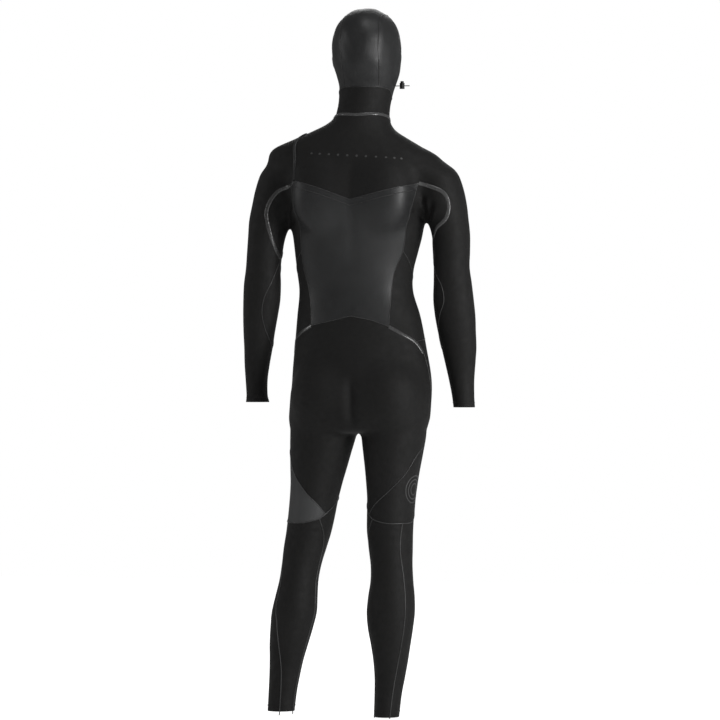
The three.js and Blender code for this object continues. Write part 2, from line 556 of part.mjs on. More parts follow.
add("zip_pull", [
  placed(rod(1, 8), 0, 0, 0),
  placed(new THREE.BoxGeometry(1.6, 9, 2.4), -3.4, -3.4, 0),
  placed(new THREE.BoxGeometry(1.6, 9, 2.4), 3.4, -3.4, 0),
  placed(new THREE.BoxGeometry(8.4, 30, 2.4), 0, -21, 0),
].reduce((a, b) => a.add(b)), jersey);

// ---- Hood drawcord and its lock, at the wearer's right edge of the hood ----
const exit = on(head, 1578, 270);
const lockAt = new THREE.Vector3(exit.x - 19, exit.y, exit.z - 1);
const LOCK = { radius: 6.2, height: 15, bore: 4.4, floor: -6.3 };
const BUTTON = { radius: LOCK.bore - GAP, low: -2.4, high: 11.8, travel: 2.2 };
const post = (radius, height, z) => fromGeometry(new THREE.CylinderGeometry(radius, radius, height, 20)
  .rotateX(Math.PI / 2).translate(lockAt.x, lockAt.y, lockAt.z + z));
const cordPath = new THREE.CurvePath();
const cordY = 1.3, loopEnd = lockAt.x - 16;
[[exit.x - 0.4, -cordY], [loopEnd, -cordY]].reduce((a, b) => {
  cordPath.add(new THREE.LineCurve3(...[a, b].map(([x, y]) => new THREE.Vector3(x, lockAt.y + y, lockAt.z))));
  return b;
});
cordPath.add(new THREE.CubicBezierCurve3(...[[loopEnd, -cordY], [loopEnd - 3.4, -cordY], [loopEnd - 3.4, cordY],
  [loopEnd, cordY]].map(([x, y]) => new THREE.Vector3(x, lockAt.y + y, lockAt.z))));
cordPath.add(new THREE.LineCurve3(new THREE.Vector3(loopEnd, lockAt.y + cordY, lockAt.z),
  new THREE.Vector3(exit.x - 0.4, lockAt.y + cordY, lockAt.z)));
const cordSection = new THREE.Shape().absarc(0, 0, 1, 0, 2 * Math.PI);
add("hood_drawcord", fromGeometry(new THREE.ExtrudeGeometry(cordSection,
  { extrudePath: cordPath, steps: 40, curveSegments: 4, bevelEnabled: false })), jersey);
const cordWay = (height, z) =>
  box(2 * LOCK.radius + 4, 2 * cordY + 2.8, height, lockAt.x, lockAt.y, lockAt.z + z);
const between = (radius, low, high) => post(radius, high - low, (low + high) / 2);
add("cord_lock_barrel", post(LOCK.radius, LOCK.height, 0)
  .subtract(between(LOCK.bore, LOCK.floor, LOCK.height)).subtract(cordWay(3, 0)), plastic);
add("cord_lock_button", between(BUTTON.radius, BUTTON.low, BUTTON.high)
  .subtract(cordWay(2.8 + BUTTON.travel, BUTTON.travel / 2)), plastic);
const coil = { radius: 2.7, wire: 0.45, turns: 3, low: LOCK.floor + 0.5 + GAP, high: BUTTON.low - 0.5 - GAP };
const coilPoints = Array.from({ length: 12 * coil.turns + 1 }, (_, i) => {
  const u = i / (12 * coil.turns), a = 2 * Math.PI * coil.turns * u;
  return new THREE.Vector3(lockAt.x + coil.radius * Math.cos(a), lockAt.y + coil.radius * Math.sin(a),
    lockAt.z + coil.low + (coil.high - coil.low) * u);
});
const coilPath = new THREE.CatmullRomCurve3(coilPoints);
add("cord_lock_spring", fromGeometry(new THREE.ExtrudeGeometry(
  new THREE.Shape().absarc(0, 0, coil.wire, 0, 2 * Math.PI),
  { extrudePath: coilPath, steps: 36, curveSegments: 3, bevelEnabled: false })), steel);

export default suit;
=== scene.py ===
# %% [markdown]
# # A hooded wetsuit, from body form to sewn panels
# The suit is a foam-rubber sheet cut along its seams, so it is made the way a pattern cutter
# works: first the standing body form, then the sheet that lies on it, then the seam lines that
# part the sheet into panels, and last the tapes, beads, zip and cord that lie on top. The packed
# model is the frame, and each panel made here rides on the body that its CAD solid belongs to.

# %% Frame and measures
import math

import bmesh
import bpy
import numpy as np
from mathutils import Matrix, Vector


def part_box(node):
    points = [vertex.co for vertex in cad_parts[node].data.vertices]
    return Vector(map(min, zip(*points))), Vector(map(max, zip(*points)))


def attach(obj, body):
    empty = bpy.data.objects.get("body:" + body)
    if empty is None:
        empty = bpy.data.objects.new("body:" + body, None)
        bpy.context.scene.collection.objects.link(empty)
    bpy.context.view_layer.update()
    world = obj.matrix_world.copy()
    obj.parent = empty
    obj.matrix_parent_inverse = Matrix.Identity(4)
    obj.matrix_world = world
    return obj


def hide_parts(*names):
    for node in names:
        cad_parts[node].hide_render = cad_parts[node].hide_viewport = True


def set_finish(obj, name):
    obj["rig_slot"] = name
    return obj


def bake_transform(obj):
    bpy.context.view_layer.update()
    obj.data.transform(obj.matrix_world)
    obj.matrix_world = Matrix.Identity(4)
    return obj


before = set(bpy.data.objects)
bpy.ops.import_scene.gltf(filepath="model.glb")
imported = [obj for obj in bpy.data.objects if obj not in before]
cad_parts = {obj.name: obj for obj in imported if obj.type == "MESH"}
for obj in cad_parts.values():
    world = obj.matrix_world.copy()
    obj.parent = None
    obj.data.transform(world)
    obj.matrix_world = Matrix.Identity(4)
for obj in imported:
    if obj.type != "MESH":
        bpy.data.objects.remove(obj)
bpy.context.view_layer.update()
scene = bpy.context.scene
NECK = np.array([-11.0, 14.0, 1500.0])  # centre of the neck seam in working millimetres
SHEET = 4.5  # thickness of the neoprene, mm
GRID = 5.0  # spacing of the first mesh of the form, mm


def metres(points):
    """Working millimetres, from the left trouser hem up, to the row frame in metres."""
    return (np.asarray(points, float) - NECK) / 1000


def shown(name, data):
    """A new object in the scene that shows a mesh, light or camera."""
    obj = bpy.data.objects.new(name, data)
    scene.collection.objects.link(obj)
    return obj


# %% [markdown]
# ## Camera and light
# The suit is seen from behind and a little to its right, from far away, so a long lens ten metres
# off keeps the verticals straight. Four soft area lights and a white surround give the even light
# of a studio. The strongest stands low on the right, so that the rubber shows its gloss.

# %% Camera
AZIMUTH = math.radians(193)
back = Vector((math.sin(AZIMUTH), -math.cos(AZIMUTH), 0))
aim = Vector((0.0086, -0.014, -0.613))
camera_data = bpy.data.cameras.new("studio_camera")
camera_data.lens, camera_data.sensor_width = 200, 36
camera_data.clip_end = 40
camera = shown("studio_camera", camera_data)
camera.location = aim + back * 10.08
camera.rotation_euler = (-back).to_track_quat("-Z", "Y").to_euler()
scene.camera = camera
print("camera at", tuple(round(v, 2) for v in camera.location))


# %% Lights and surround
def area_light(name, azimuth, elevation, distance, size, power):
    """A rectangular soft light on a sphere round the suit's middle."""
    a, e = math.radians(azimuth), math.radians(elevation)
    away = Vector((math.sin(a) * math.cos(e), -math.cos(a) * math.cos(e), math.sin(e)))
    data = bpy.data.lights.new(name, "AREA")
    data.shape, data.size, data.size_y, data.energy = "RECTANGLE", size[0], size[1], power
    lamp = shown(name, data)
    lamp.location = aim + away * distance
    lamp.rotation_euler = (-away).to_track_quat("-Z", "Y").to_euler()


area_light("key_light", 242, 8, 4.2, (1.1, 2.2), 90)
area_light("left_light", 104, 14, 4.4, (0.8, 2.4), 17)
area_light("top_light", 215, 66, 3.6, (1.8, 1.2), 16)
area_light("front_light", 10, 30, 4.5, (2.0, 2.6), 40)
world = bpy.data.worlds.new("white_surround")
scene.world = world
world.use_nodes = True
surround, seen = world.node_tree.nodes["Background"], world.node_tree.nodes.new("ShaderNodeLightPath")
surround.inputs["Color"].default_value = (1, 1, 1, 1)
strength = world.node_tree.nodes.new("ShaderNodeMapRange")
strength.inputs["To Min"].default_value, strength.inputs["To Max"].default_value = 0.15, 1.0
world.node_tree.links.new(seen.outputs["Is Camera Ray"], strength.inputs["Value"])
world.node_tree.links.new(strength.outputs["Result"], surround.inputs["Strength"])
scene.view_settings.view_transform = "Standard"

# %% [markdown]
# ## The body form
# A limb is a stack of ellipses, each with its height, centre and half-sizes in millimetres, and a
# smooth curve runs through them. Six limbs and a few soft swellings are blended into one
# distance-like field: a number that is negative inside the body and nought on the suit's outside.
# A field is chosen over a hand-made mesh because every seam and tape can then be pulled exactly
# onto the same surface.

# %% Limb stations
trunk = (1, [
    (704, -2, 14, 158, 98), (720, -3, 15, 174, 106), (770, -7, 16, 180, 113), (837, -10, 12, 178, 112),
    (917, -4, 1, 169, 101), (998, 3, -9, 158, 90), (1060, 10, -11, 146, 90), (1110, 12, -9, 149, 96),
    (1160, 8, -6, 158, 104), (1200, 4, -3, 165, 112), (1260, 1, 2, 172, 120), (1320, -2, 7, 184, 119),
    (1361, 2, 12, 205, 108), (1385, 9, 15, 212, 96), (1405, 17, 17, 208, 86), (1423, 24, 19, 186, 78),
    (1441, 18, 21, 150, 72), (1462, 8, 22, 108, 67), (1482, -5, 19, 80, 64), (1502, -11, 14, 67, 61),
    (1522, -13, 8, 63, 60), (1542, -15, 3, 61, 60), (1560, -16, 0, 58, 56),
])
head = (1, [
    (1490, -12, 10, 58, 56), (1530, -15, -4, 60, 62), (1562, -17, -12, 67, 72), (1583, -19, -12, 72, 82),
    (1603, -20, -8, 78, 91), (1630, -20, -2, 84, 98), (1660, -20, 1, 86, 101), (1690, -20, 2, 85, 101),
    (1715, -20, 2, 80, 96), (1738, -20, 2, 67, 84), (1756, -20, 2, 49, 63), (1768, -20, 2, 27, 34),
    (1772, -20, 2, 8, 10),
])
left_leg = (1, [
    (0, 202, 2, 34, 37), (50, 197, 4, 36, 38), (91, 191, 8, 39, 40), (131, 185, 12, 43, 45),
    (171, 178, 16, 49, 51), (212, 170, 19, 54, 56), (252, 163, 20, 57, 58), (292, 158, 17, 53, 58),
    (333, 153, 11, 49, 56), (373, 147, 6, 50, 56), (413, 139, 3, 54, 58), (454, 130, 0, 57, 61),
    (494, 123, 0, 59, 66), (534, 117, 0, 61, 70), (575, 110, 2, 65, 74), (615, 104, 4, 71, 78),
    (655, 98, 6, 77, 83), (696, 91, 8, 83, 89), (740, 87, 12, 84, 96), (800, 84, 12, 78, 94),
])
right_leg = (-1, [
    (-10, -72, 2, 31, 37), (50, -77, 4, 34, 38), (91, -82, 8, 38, 40), (131, -85, 12, 43, 45),
    (171, -86, 16, 49, 51), (212, -86, 19, 56, 56), (252, -87, 20, 60, 58), (292, -88, 17, 58, 58),
    (333, -88, 11, 53, 56), (373, -86, 6, 52, 56), (413, -83, 3, 55, 58), (454, -80, 0, 58, 61),
    (494, -81, 0, 59, 66), (534, -83, 0, 60, 70), (575, -85, 2, 64, 74), (615, -87, 4, 69, 78),
    (655, -89, 6, 75, 83), (696, -91, 8, 81, 89), (740, -90, 12, 84, 96), (800, -88, 12, 78, 94),
])
left_arm = (1, [
    (780, 274, -40, 30, 30), (796, 275, -38, 27, 29), (837, 275, -33, 28, 31), (877, 272, -27, 32, 34),
    (917, 267, -20, 36, 38), (958, 263, -13, 40, 42), (998, 258, -6, 44, 45), (1038, 253, 0, 47, 47),
    (1079, 250, 5, 47, 47), (1119, 247, 8, 44, 47), (1159, 243, 8, 45, 49), (1200, 238, 8, 47, 52),
    (1240, 231, 8, 51, 55), (1280, 219, 8, 55, 58), (1320, 206, 8, 59, 59), (1361, 190, 9, 60, 58),
    (1400, 176, 10, 48, 46),
])
right_arm = (-1, [
    (768, -262, -41, 27, 30), (796, -260, -38, 28, 30), (837, -257, -33, 32, 32), (877, -255, -27, 38, 35),
    (917, -253, -20, 44, 39), (958, -249, -13, 48, 43), (998, -246, -6, 51, 46), (1038, -243, 0, 51, 47),
    (1079, -242, 5, 48, 47), (1119, -240, 8, 45, 47), (1159, -240, 8, 46, 49), (1200, -238, 8, 48, 52),
    (1240, -231, 8, 51, 55), (1280, -221, 8, 56, 58), (1320, -208, 8, 60, 59), (1361, -192, 9, 60, 58),
    (1390, -180, 10, 50, 46),
])
swellings = [  # centre, radii, blend: seat, shoulder blades, chest
    ((80, 70, 800), (72, 66, 80), 30), ((-94, 70, 796), (72, 66, 80), 30),
    ((88, 92, 1300), (60, 42, 80), 40), ((-88, 92, 1300), (60, 42, 80), 40),
    ((82, -82, 1290), (78, 44, 62), 40), ((-82, -82, 1290), (78, 44, 62), 40),
]
HEMS = {"left_leg": 0, "right_leg": -10, "left_arm": 780, "right_arm": 768}  # heights of the cut ends
FACE = {"x": -20, "z": 1640, "half_width": 56, "half_height": 64}  # the oval face opening
print("stations:", sum(len(limb[1]) for limb in (trunk, head, left_leg, right_leg, left_arm, right_arm)))


# %% The field
def section(limb, z):
    """A limb's ellipse (centre x, centre y, half-width, half-depth) at each height in z."""
    s = np.array(limb[1], float)
    z = np.clip(np.asarray(z, float), s[0, 0], s[-1, 0])
    i = np.clip(np.searchsorted(s[:, 0], z, side="right") - 1, 0, len(s) - 2)
    lo, hi = np.maximum(np.arange(len(s)) - 1, 0), np.minimum(np.arange(len(s)) + 1, len(s) - 1)
    slope = (s[hi, 1:] - s[lo, 1:]) / (s[hi, 0] - s[lo, 0])[:, None]
    h = s[i + 1, 0] - s[i, 0]
    u = (z - s[i, 0]) / h
    parts = ((1 + 2 * u) * (1 - u) ** 2, h * u * (1 - u) ** 2, u * u * (3 - 2 * u), h * u * u * (u - 1))
    return [parts[0] * s[i, c] + parts[1] * slope[i, c - 1] + parts[2] * s[i + 1, c]
            + parts[3] * slope[i + 1, c - 1] for c in (1, 2, 3, 4)]


def to_limb(limb, x, y, z, spare=0.0, low=0.0, high=0.0):
    """Nearly the distance to a limb; spare lengthens its lower end, low and high round its ends."""
    cx, cy, a, b = section(limb, z)
    r = np.hypot((x - cx) / a, (y - cy) / b) + 1e-9
    f = r * (r - 1) / (np.hypot((x - cx) / a ** 2, (y - cy) / b ** 2) + 1e-9)
    for end, k in ((limb[1][0][0] - spare - z, low), (z - limb[1][-1][0], high)):
        if k:
            f = -blended(-f, -end, k)
        else:
            f = np.where(end > 0, np.hypot(np.maximum(f, 0), np.maximum(end, 0)), f)
    return f


def to_swelling(at, size, x, y, z):
    q = [(v - c) / s for v, c, s in zip((x, y, z), at, size)]
    r = np.sqrt(sum(v * v for v in q)) + 1e-9
    return r * (r - 1) / (np.sqrt(sum((v / s) ** 2 for v, s in zip(q, size))) + 1e-9)


def blended(a, b, k):
    h = np.maximum(k - np.abs(a - b), 0) / k
    return np.minimum(a, b) - h * h * k / 4


def body(x, y, z, spare=26.0):
    """The field of the whole form: negative inside, nought on the outside of the suit."""
    f = blended(to_limb(trunk, x, y, z, low=44.0), to_limb(left_arm, x, y, z, spare, high=50.0), 34)
    f = blended(f, to_limb(right_arm, x, y, z, spare, high=50.0), 34)
    legs = blended(to_limb(left_leg, x, y, z, spare), to_limb(right_leg, x, y, z, spare), 10)
    f = blended(blended(f, legs, 14), to_limb(head, x, y, z), 20)
    for at, size, k in swellings:
        f = blended(f, to_swelling(at, size, x, y, z), k)
    return f


def gradient(p):
    """The field's slope at an (n, 3) array of points, and its value there."""
    e, (x, y, z) = 0.5, p.T
    f = body(x, y, z)
    return np.stack([body(x + e, y, z) - f, body(x, y + e, z) - f, body(x, y, z + e) - f], 1) / e, f


def onto_skin(p, steps=4):
    """Points pulled onto the suit's outside along the field's slope, with their outward normals."""
    p = np.array(p, float)
    for _ in range(steps):
        g, f = gradient(p)
        p -= g * (f / np.maximum((g * g).sum(1), 0.05))[:, None]
    g, _ = gradient(p)
    return p, g / np.linalg.norm(g, axis=1, keepdims=True)


navel = (np.array([v]) for v in (0.0, 0.0, 1100.0))
print("field inside the waist, mm:", round(float(body(*navel)[0]), 1))

# %% [markdown]
# ## From field to mesh
# The field is sampled on a grid, and each grid cell that the surface passes through gets one
# point. Joining the points of neighbouring cells gives an even mesh of quads. It is the same idea
# as Blender's voxel remesh, but with the points then pulled exactly onto the surface.


# %% An even quad mesh of the form
def quads_of_form(step):
    lo, hi = np.array([-312.0, -135, -54]), np.array([330.0, 150, 1786])
    axes = [np.arange(a, b, step) for a, b in zip(lo, hi)]
    gx, gy, gz = np.meshgrid(*axes, indexing="ij", sparse=True)
    f = body(gx, gy, np.broadcast_to(gz, (1, 1, len(axes[2]))))
    inside = f < 0
    total, weight = np.zeros(inside.shape + (3,), np.float32), np.zeros(inside.shape, np.float32)
    crossings = []
    for d in range(3):
        a = [slice(None)] * 3
        b = [slice(None)] * 3
        a[d], b[d] = slice(0, -1), slice(1, None)
        cross = np.argwhere(inside[tuple(a)] != inside[tuple(b)])
        nxt = cross.copy()
        nxt[:, d] += 1
        f0, f1 = f[tuple(cross.T)], f[tuple(nxt.T)]
        spot = cross.astype(float)
        spot[:, d] += f0 / (f0 - f1)
        crossings.append((d, cross, f0 < 0))
        u, v = [k for k in range(3) if k != d]
        for du in (0, -1):
            for dv in (0, -1):
                cell = cross.copy()
                cell[:, u] += du
                cell[:, v] += dv
                np.add.at(total, tuple(cell.T), spot)
                np.add.at(weight, tuple(cell.T), 1)
    used = np.argwhere(weight > 0)
    index = np.full(weight.shape, -1)
    index[tuple(used.T)] = np.arange(len(used))
    points = lo + total[tuple(used.T)] / weight[tuple(used.T)][:, None] * step
    quads = []
    for d, cross, start_inside in crossings:
        u, v = [(1, 2), (2, 0), (0, 1)][d]
        corner = []
        for du, dv in ((0, 0), (-1, 0), (-1, -1), (0, -1)):
            cell = cross.copy()
            cell[:, u] += du
            cell[:, v] += dv
            corner.append(index[tuple(cell.T)])
        quad = np.stack(corner, 1)
        quad[~start_inside] = quad[~start_inside][:, ::-1]
        quads.append(quad)
    return points, np.concatenate(quads)


form_points, form_quads = quads_of_form(GRID)
form_points, form_normals = onto_skin(form_points, 6)
print(len(form_points), "points,", len(form_quads), "quads, furthest from the surface, mm:",
      round(float(np.abs(body(*form_points.T)).max()), 3))

# %% [markdown]
# ## Folds and hollows in the worn suit
# Rubber sheet hugs the body, but it folds where the arm meets the back, sinks along the spine and
# between the two halves of the seat. These are a few millimetres deep, so they are added as moves
# of the mesh along its normals, each one a soft ridge or dip with a place, a direction and a width.


# %% Soft moves of the surface
def dip(p, start, end, width, depth, taper=0.25):
    """How far a soft groove from start to end moves each point inwards, in mm."""
    a, b = np.array(start, float), np.array(end, float)
    along = b - a
    t = ((p - a) @ along) / (along @ along)
    off = np.linalg.norm(p - (a + np.clip(t, 0, 1)[:, None] * along), axis=1)
    ends = np.clip(np.minimum(t + 0.1, 1.1 - t) / taper, 0, 1)
    return depth * np.exp(-(off / width) ** 2) * ends * ends * (3 - 2 * ends)


def worn(p):
    """The sum of the folds at each point, in mm along the normal: ridges plus, grooves minus."""
    flat = p * (1, 0, 1)  # folds on the back are placed as seen from behind
    behind = np.clip((p[:, 1] - 15) / 30, 0, 1)
    moves = -dip(p, (-4, 112, 1080), (-6, 118, 1400), 16, 3.2)  # spine
    moves -= behind * dip(flat, (-8, 0, 712), (-7, 0, 850), 14, 9.0, 0.4)  # between the seat's halves
    folds = ((-162, 1300, 4.0), (-174, 1300, -4.0), (-188, 1296, 4.5), (-201, 1284, -4.0),
             (-213, 1266, 3.5), (-150, 1268, -3.5), (-140, 1240, 3.0))
    for x, z, height in folds:  # from the right armpit outwards
        moves += behind * dip(flat, (-186, 0, 1218), (x, 0, z), 7.0, height, 0.35)
    for x, z, height in ((150, 1266, 3.0), (142, 1240, -2.5), (176, 1286, 2.5)):
        moves += behind * dip(flat, (188, 0, 1218), (x, 0, z), 7.0, height, 0.35)
    moves += dip(p, (68, -8, 1622), (70, -4, 1656), 15, 4.5, 0.3)  # ears under the hood
    moves += dip(p, (-108, -8, 1622), (-110, -4, 1656), 15, 2.0, 0.3)
    x, y, z = p.T
    lumps = np.sin(x / 15 + 0.6) * np.sin(z / 21 + 1.1) + np.sin(x / 9 - z / 27) * np.sin(y / 13 + z / 17)
    moves += 0.8 * lumps * np.clip((z - 1575) / 30, 0, 1)
    for x, z in ((126, 470), (131, 452), (-84, 472), (-84, 453)):  # back of the knees
        moves += dip(p, (x - 34, 52, z - 6), (x + 30, 56, z + 4), 5.0, 1.5)
        moves -= dip(p, (x - 34, 52, z + 3), (x + 30, 56, z + 13), 5.0, 1.5)
    for x, z in ((243, 1104), (247, 1090), (-238, 1102), (-241, 1088)):  # inside of the elbows
        moves += dip(p, (x - 30, -36, z - 4), (x + 26, -40, z + 4), 5.0, 1.4)
    for x, z in ((196, 74), (197, 60), (-76, 66), (-75, 50)):  # above the ankles
        moves += dip(p, (x - 34, 40, z + 3), (x + 34, 38, z - 3), 4.5, 1.2)
    return moves


form_points += form_normals * worn(form_points)[:, None]
print("folds move the surface from", round(float(worn(form_points).min()), 1), "to",
      round(float(worn(form_points).max()), 1), "mm")

# %% [markdown]
# ## Seam lines
# A place on the suit is named by its limb, its height and its angle round the limb: 0 is the
# front, 90 the limb's outer side and 180 the back. A level ray from the limb's axis finds the
# point. The lines of the pattern are smooth curves through such places, laid onto the surface.


# %% Places on the suit
ARMPIT = 1220


def on(limb, z, degrees):
    cx, cy, a, b = (float(v[0]) for v in section(limb, [z]))
    t = math.radians(degrees)
    d = np.array([limb[0] * a * math.sin(t), -b * math.cos(t), 0.0])
    d /= np.linalg.norm(d)
    outermost = limb in (trunk, head) and z > ARMPIT
    reach = np.arange(0, 333, 3.0)
    for span in (3.0, 0.1, 0.004):
        f = body(cx + d[0] * reach, cy + d[1] * reach, np.full(len(reach), float(z)))
        turns = np.flatnonzero((f[:-1] < 0) & (f[1:] >= 0))
        k = turns[-1] if outermost and span == 3.0 else turns[0]
        if span > 0.004:
            reach = np.linspace(reach[k], reach[k + 1], 31)
    return np.array([cx, cy, z]) + d * reach[k]


def seam(limb, places):
    return [on(limb, z, degrees) for z, degrees in places]


def smooth_path(places, spacing, closed=False):
    """A centripetal curve through the places, as evenly spaced points on the suit's outside."""
    p = np.array(places, float)
    n = len(p)
    at = (lambda i: p[i % n]) if closed else (lambda i: p[min(max(i, 0), n - 1)])
    out = []
    for i in range(n if closed else n - 1):
        p1, p2 = at(i), at(i + 1)
        p0 = at(i - 1) if closed or i > 0 else 2 * p1 - p2
        p3 = at(i + 2) if closed or i < n - 2 else 2 * p2 - p1
        t = np.cumsum([0] + [max(np.linalg.norm(b - a), 1e-3) ** 0.5
                             for a, b in ((p0, p1), (p1, p2), (p2, p3))])
        u = np.linspace(t[1], t[2], max(4, int(np.linalg.norm(p2 - p1) / 2)), endpoint=False)[:, None]
        a1 = (t[1] - u) / (t[1] - t[0]) * p0 + (u - t[0]) / (t[1] - t[0]) * p1
        a2 = (t[2] - u) / (t[2] - t[1]) * p1 + (u - t[1]) / (t[2] - t[1]) * p2
        a3 = (t[3] - u) / (t[3] - t[2]) * p2 + (u - t[2]) / (t[3] - t[2]) * p3
        b1 = (t[2] - u) / (t[2] - t[0]) * a1 + (u - t[0]) / (t[2] - t[0]) * a2
        b2 = (t[3] - u) / (t[3] - t[1]) * a2 + (u - t[1]) / (t[3] - t[1]) * a3
        out.append((t[2] - u) / (t[2] - t[1]) * b1 + (u - t[1]) / (t[2] - t[1]) * b2)
    out.append(p[:1] if closed else p[-1:])
    line, _ = onto_skin(np.concatenate(out))
    length = np.concatenate([[0], np.cumsum(np.linalg.norm(np.diff(line, axis=0), axis=1))])
    count = max(2, int(round(length[-1] / spacing)) + 1)
    at_even = np.linspace(0, length[-1], count)
    even = np.stack([np.interp(at_even, length, line[:, k]) for k in range(3)], 1)
    return onto_skin(even[:-1] if closed else even, 2)


print("nape of the neck seam, mm:", on(trunk, 1501, 180).round(1))

# %% The pattern's lines
ELBOW = 1140
sides = {
    "left": dict(arm=left_arm, leg=left_leg, turn=lambda d: d,
                 back=[(1336, 138), (1322, 137.5), (1298, 137), (1202, 127), (1160, 126), (1110, 128),
                       (1071, 132), (973, 138)],
                 waist=[(953, 118), (935, 104)], peak=[(1315, 160), (1287, 181)],
                 underarm=[(1300, 188), (1260, 181), (1215, 200), (1174, 226)],
                 forearm=[(1089, 227), (1046, 202), (1008, 198), (970, 213), (942, 236)],
                 calf=[(478, 128), (401, 118), (315, 134), (267, 137), (214, 151), (118, 177), (-8, 188)],
                 thigh=[(648, 111), (600, 138), (556, 172), (522, 208)]),
    "right": dict(arm=right_arm, leg=right_leg, turn=lambda d: 360 - d,
                  back=[(1328, 121), (1314, 121.5), (1290, 123), (1225, 125), (1160, 123), (1110, 129),
                        (1046, 136), (970, 145)],
                  waist=[(950, 130), (932, 115)], peak=[(1309, 206), (1287, 181)],
                  underarm=[(1303, 162), (1272, 158), (1240, 174), (1213, 216), (1176, 250)],
                  forearm=[(1100, 227), (1074, 205), (1035, 198), (1000, 218), (960, 243)],
                  calf=[(478, 135), (416, 142), (345, 134), (270, 132), (204, 133), (118, 144), (-18, 153)],
                  thigh=[(653, 109), (602, 137), (559, 172), (525, 208)]),
}
lines = {
    "hood_edge": seam(head, [(1571, 180), (1571, 140), (1565, 111), (1550, 92), (1538, 50), (1531, 0),
                             (1538, 310), (1550, 268), (1565, 249), (1571, 220)]),
    "neck": seam(trunk, [(1501, 180), (1503, 130), (1497, 95), (1480, 50), (1466, 0), (1480, 310),
                         (1497, 265), (1503, 230)]),
    "zip": seam(trunk, [(1392, 42), (1392, 20), (1392, 0), (1392, 340), (1392, 318)]),
    "chin": seam(head, [(1592, 0), (1560, 0), (1531, 0)]),
    "shoulder": seam(trunk, [(1336, 138), (1366, 139), (1391, 141), (1425, 137), (1441, 123), (1455, 100),
                             (1452, 75), (1436, 55), (1414, 46), (1392, 42)]),
    "front_waist": seam(trunk, [(935, 104), (942, 78), (958, 50), (985, 22), (992, 0), (985, 338),
                                (958, 310), (942, 282), (932, 245)]),
}
closed_lines = {"hood_edge", "neck"}
crotch = np.array([-2.0, 2.0, 699.0])
for name, s in sides.items():
    arm, leg, turn = s["arm"], s["leg"], s["turn"]
    around = lambda places: seam(trunk, [(z, turn(d)) for z, d in places])
    mirrored = lambda limb, places: seam(limb, [(z, 540 - d) for z, d in places])
    corner, elbow = around(s["back"][:1])[0], on(arm, ELBOW, 262)
    knee_back, knee_side = on(leg, 500, 230), on(leg, 498, 76)
    apex, hip, wrist = on(leg, 527, 263), on(leg, 675, 82), on(arm, 915, 268)
    peak = seam(trunk, s["peak"])
    own = {
        "hood": seam(head, [(z, turn(d)) for z, d in (
            (1571, 140), (1605, 144), (1660, 146), (1705, 144), (1738, 136), (1754, 105), (1751, 72),
            (1736, 50), (1716, 36), (1694, 30))]),
        "back": around(s["back"]),
        "back_top": [corner] + peak,
        "band_edge": [around(s["back"][1:2])[0]] + [p - np.array([0, 0, 15]) for p in peak],
        "back_bottom": around(s["back"][-1:] + [(985, 160), (997, 180)]),
        "side_seam": around([s["back"][4], (1134, 109), (1109, 94), (1087, 74), (1075, 54)]),
        "chest_edge": around([(1392, 42), (1330, 47), (1222, 50), (1140, 52), (1075, 54), (1010, 52),
                              (958, 50)]),
        "hip_seam": around(s["back"][-1:] + s["waist"] + [(905, 103), (844, 96), (799, 91)])
        + [on(leg, 740, 84), on(leg, 705, 82), hip],
        "underarm_back": [corner] + seam(arm, s["underarm"]) + [elbow],
        "underarm_front": around([(1330, 47)]) + mirrored(arm, s["underarm"]) + [elbow],
        "forearm_back": [elbow] + seam(arm, s["forearm"]) + [wrist],
        "forearm_front": [elbow] + mirrored(arm, s["forearm"]) + [wrist],
        "thigh": [hip] + seam(leg, s["thigh"]) + [knee_back],
        "thigh_front": [hip] + seam(leg, [(610, 72), (550, 70)]) + [knee_side],
        "knee": [knee_back, apex] + seam(leg, [(543, 300), (552, 340), (552, 15), (530, 48)])
        + [knee_side] + seam(leg, [(481, 100), s["calf"][0], (479, 178), (489, 215)]),
        "inseam": [crotch] + seam(leg, [(670, 276), (630, 277), (580, 273)]) + [apex],
        "calf_outer": seam(leg, s["calf"]),
        "calf_inner": seam(leg, [(489, 215), (441, 240), (381, 254), (300, 256), (200, 254), (100, 254),
                                 (s["calf"][-1][0], 254)]),
    }
    closed_lines.add(f"knee_{name}")
    lines.update({f"{key}_{name}": places for key, places in own.items()})
print(len(lines), "seam lines")

# %% [markdown]
# ## The sheet and its cuts
# The sheet is the form's mesh with a second skin inside it, 4.5 mm in. Each seam is cut with a
# thin ribbon that stands through the sheet and flares at the top, so that the cut edges come out
# slightly bevelled, as pressed rubber edges do. Blender's Manifold boolean does the cuts: it is
# quick, and it keeps every panel closed.


# %% Mesh helpers
def new_object(name, points, faces, smooth=True):
    """A mesh object at the origin from working millimetres."""
    data = bpy.data.meshes.new(name)
    data.from_pydata(metres(points).tolist(), [], [list(map(int, f)) for f in faces])
    if smooth:
        data.shade_smooth()
    return shown(name, data)


def swept(rings, closed):
    """A closed tube of quads through rings of equal count, with its ends filled."""
    count, n = len(rings), len(rings[0])
    faces = []
    for r in range(count if closed else count - 1):
        a, b = r * n, (r + 1) % count * n
        faces += [(a + i, a + (i + 1) % n, b + (i + 1) % n, b + i) for i in range(n)]
    if not closed:
        faces += [tuple(range(n))[::-1], tuple((count - 1) * n + i for i in range(n))]
    return np.concatenate(rings), faces


def coordinates(obj):
    co = np.zeros(len(obj.data.vertices) * 3)
    obj.data.vertices.foreach_get("co", co)
    return co.reshape(-1, 3)


def outward(obj):
    """Turns the faces of a closed piece outwards."""
    mesh = bmesh.new()
    mesh.from_mesh(obj.data)
    bmesh.ops.recalc_face_normals(mesh, faces=mesh.faces)
    mesh.to_mesh(obj.data)
    mesh.free()
    return obj


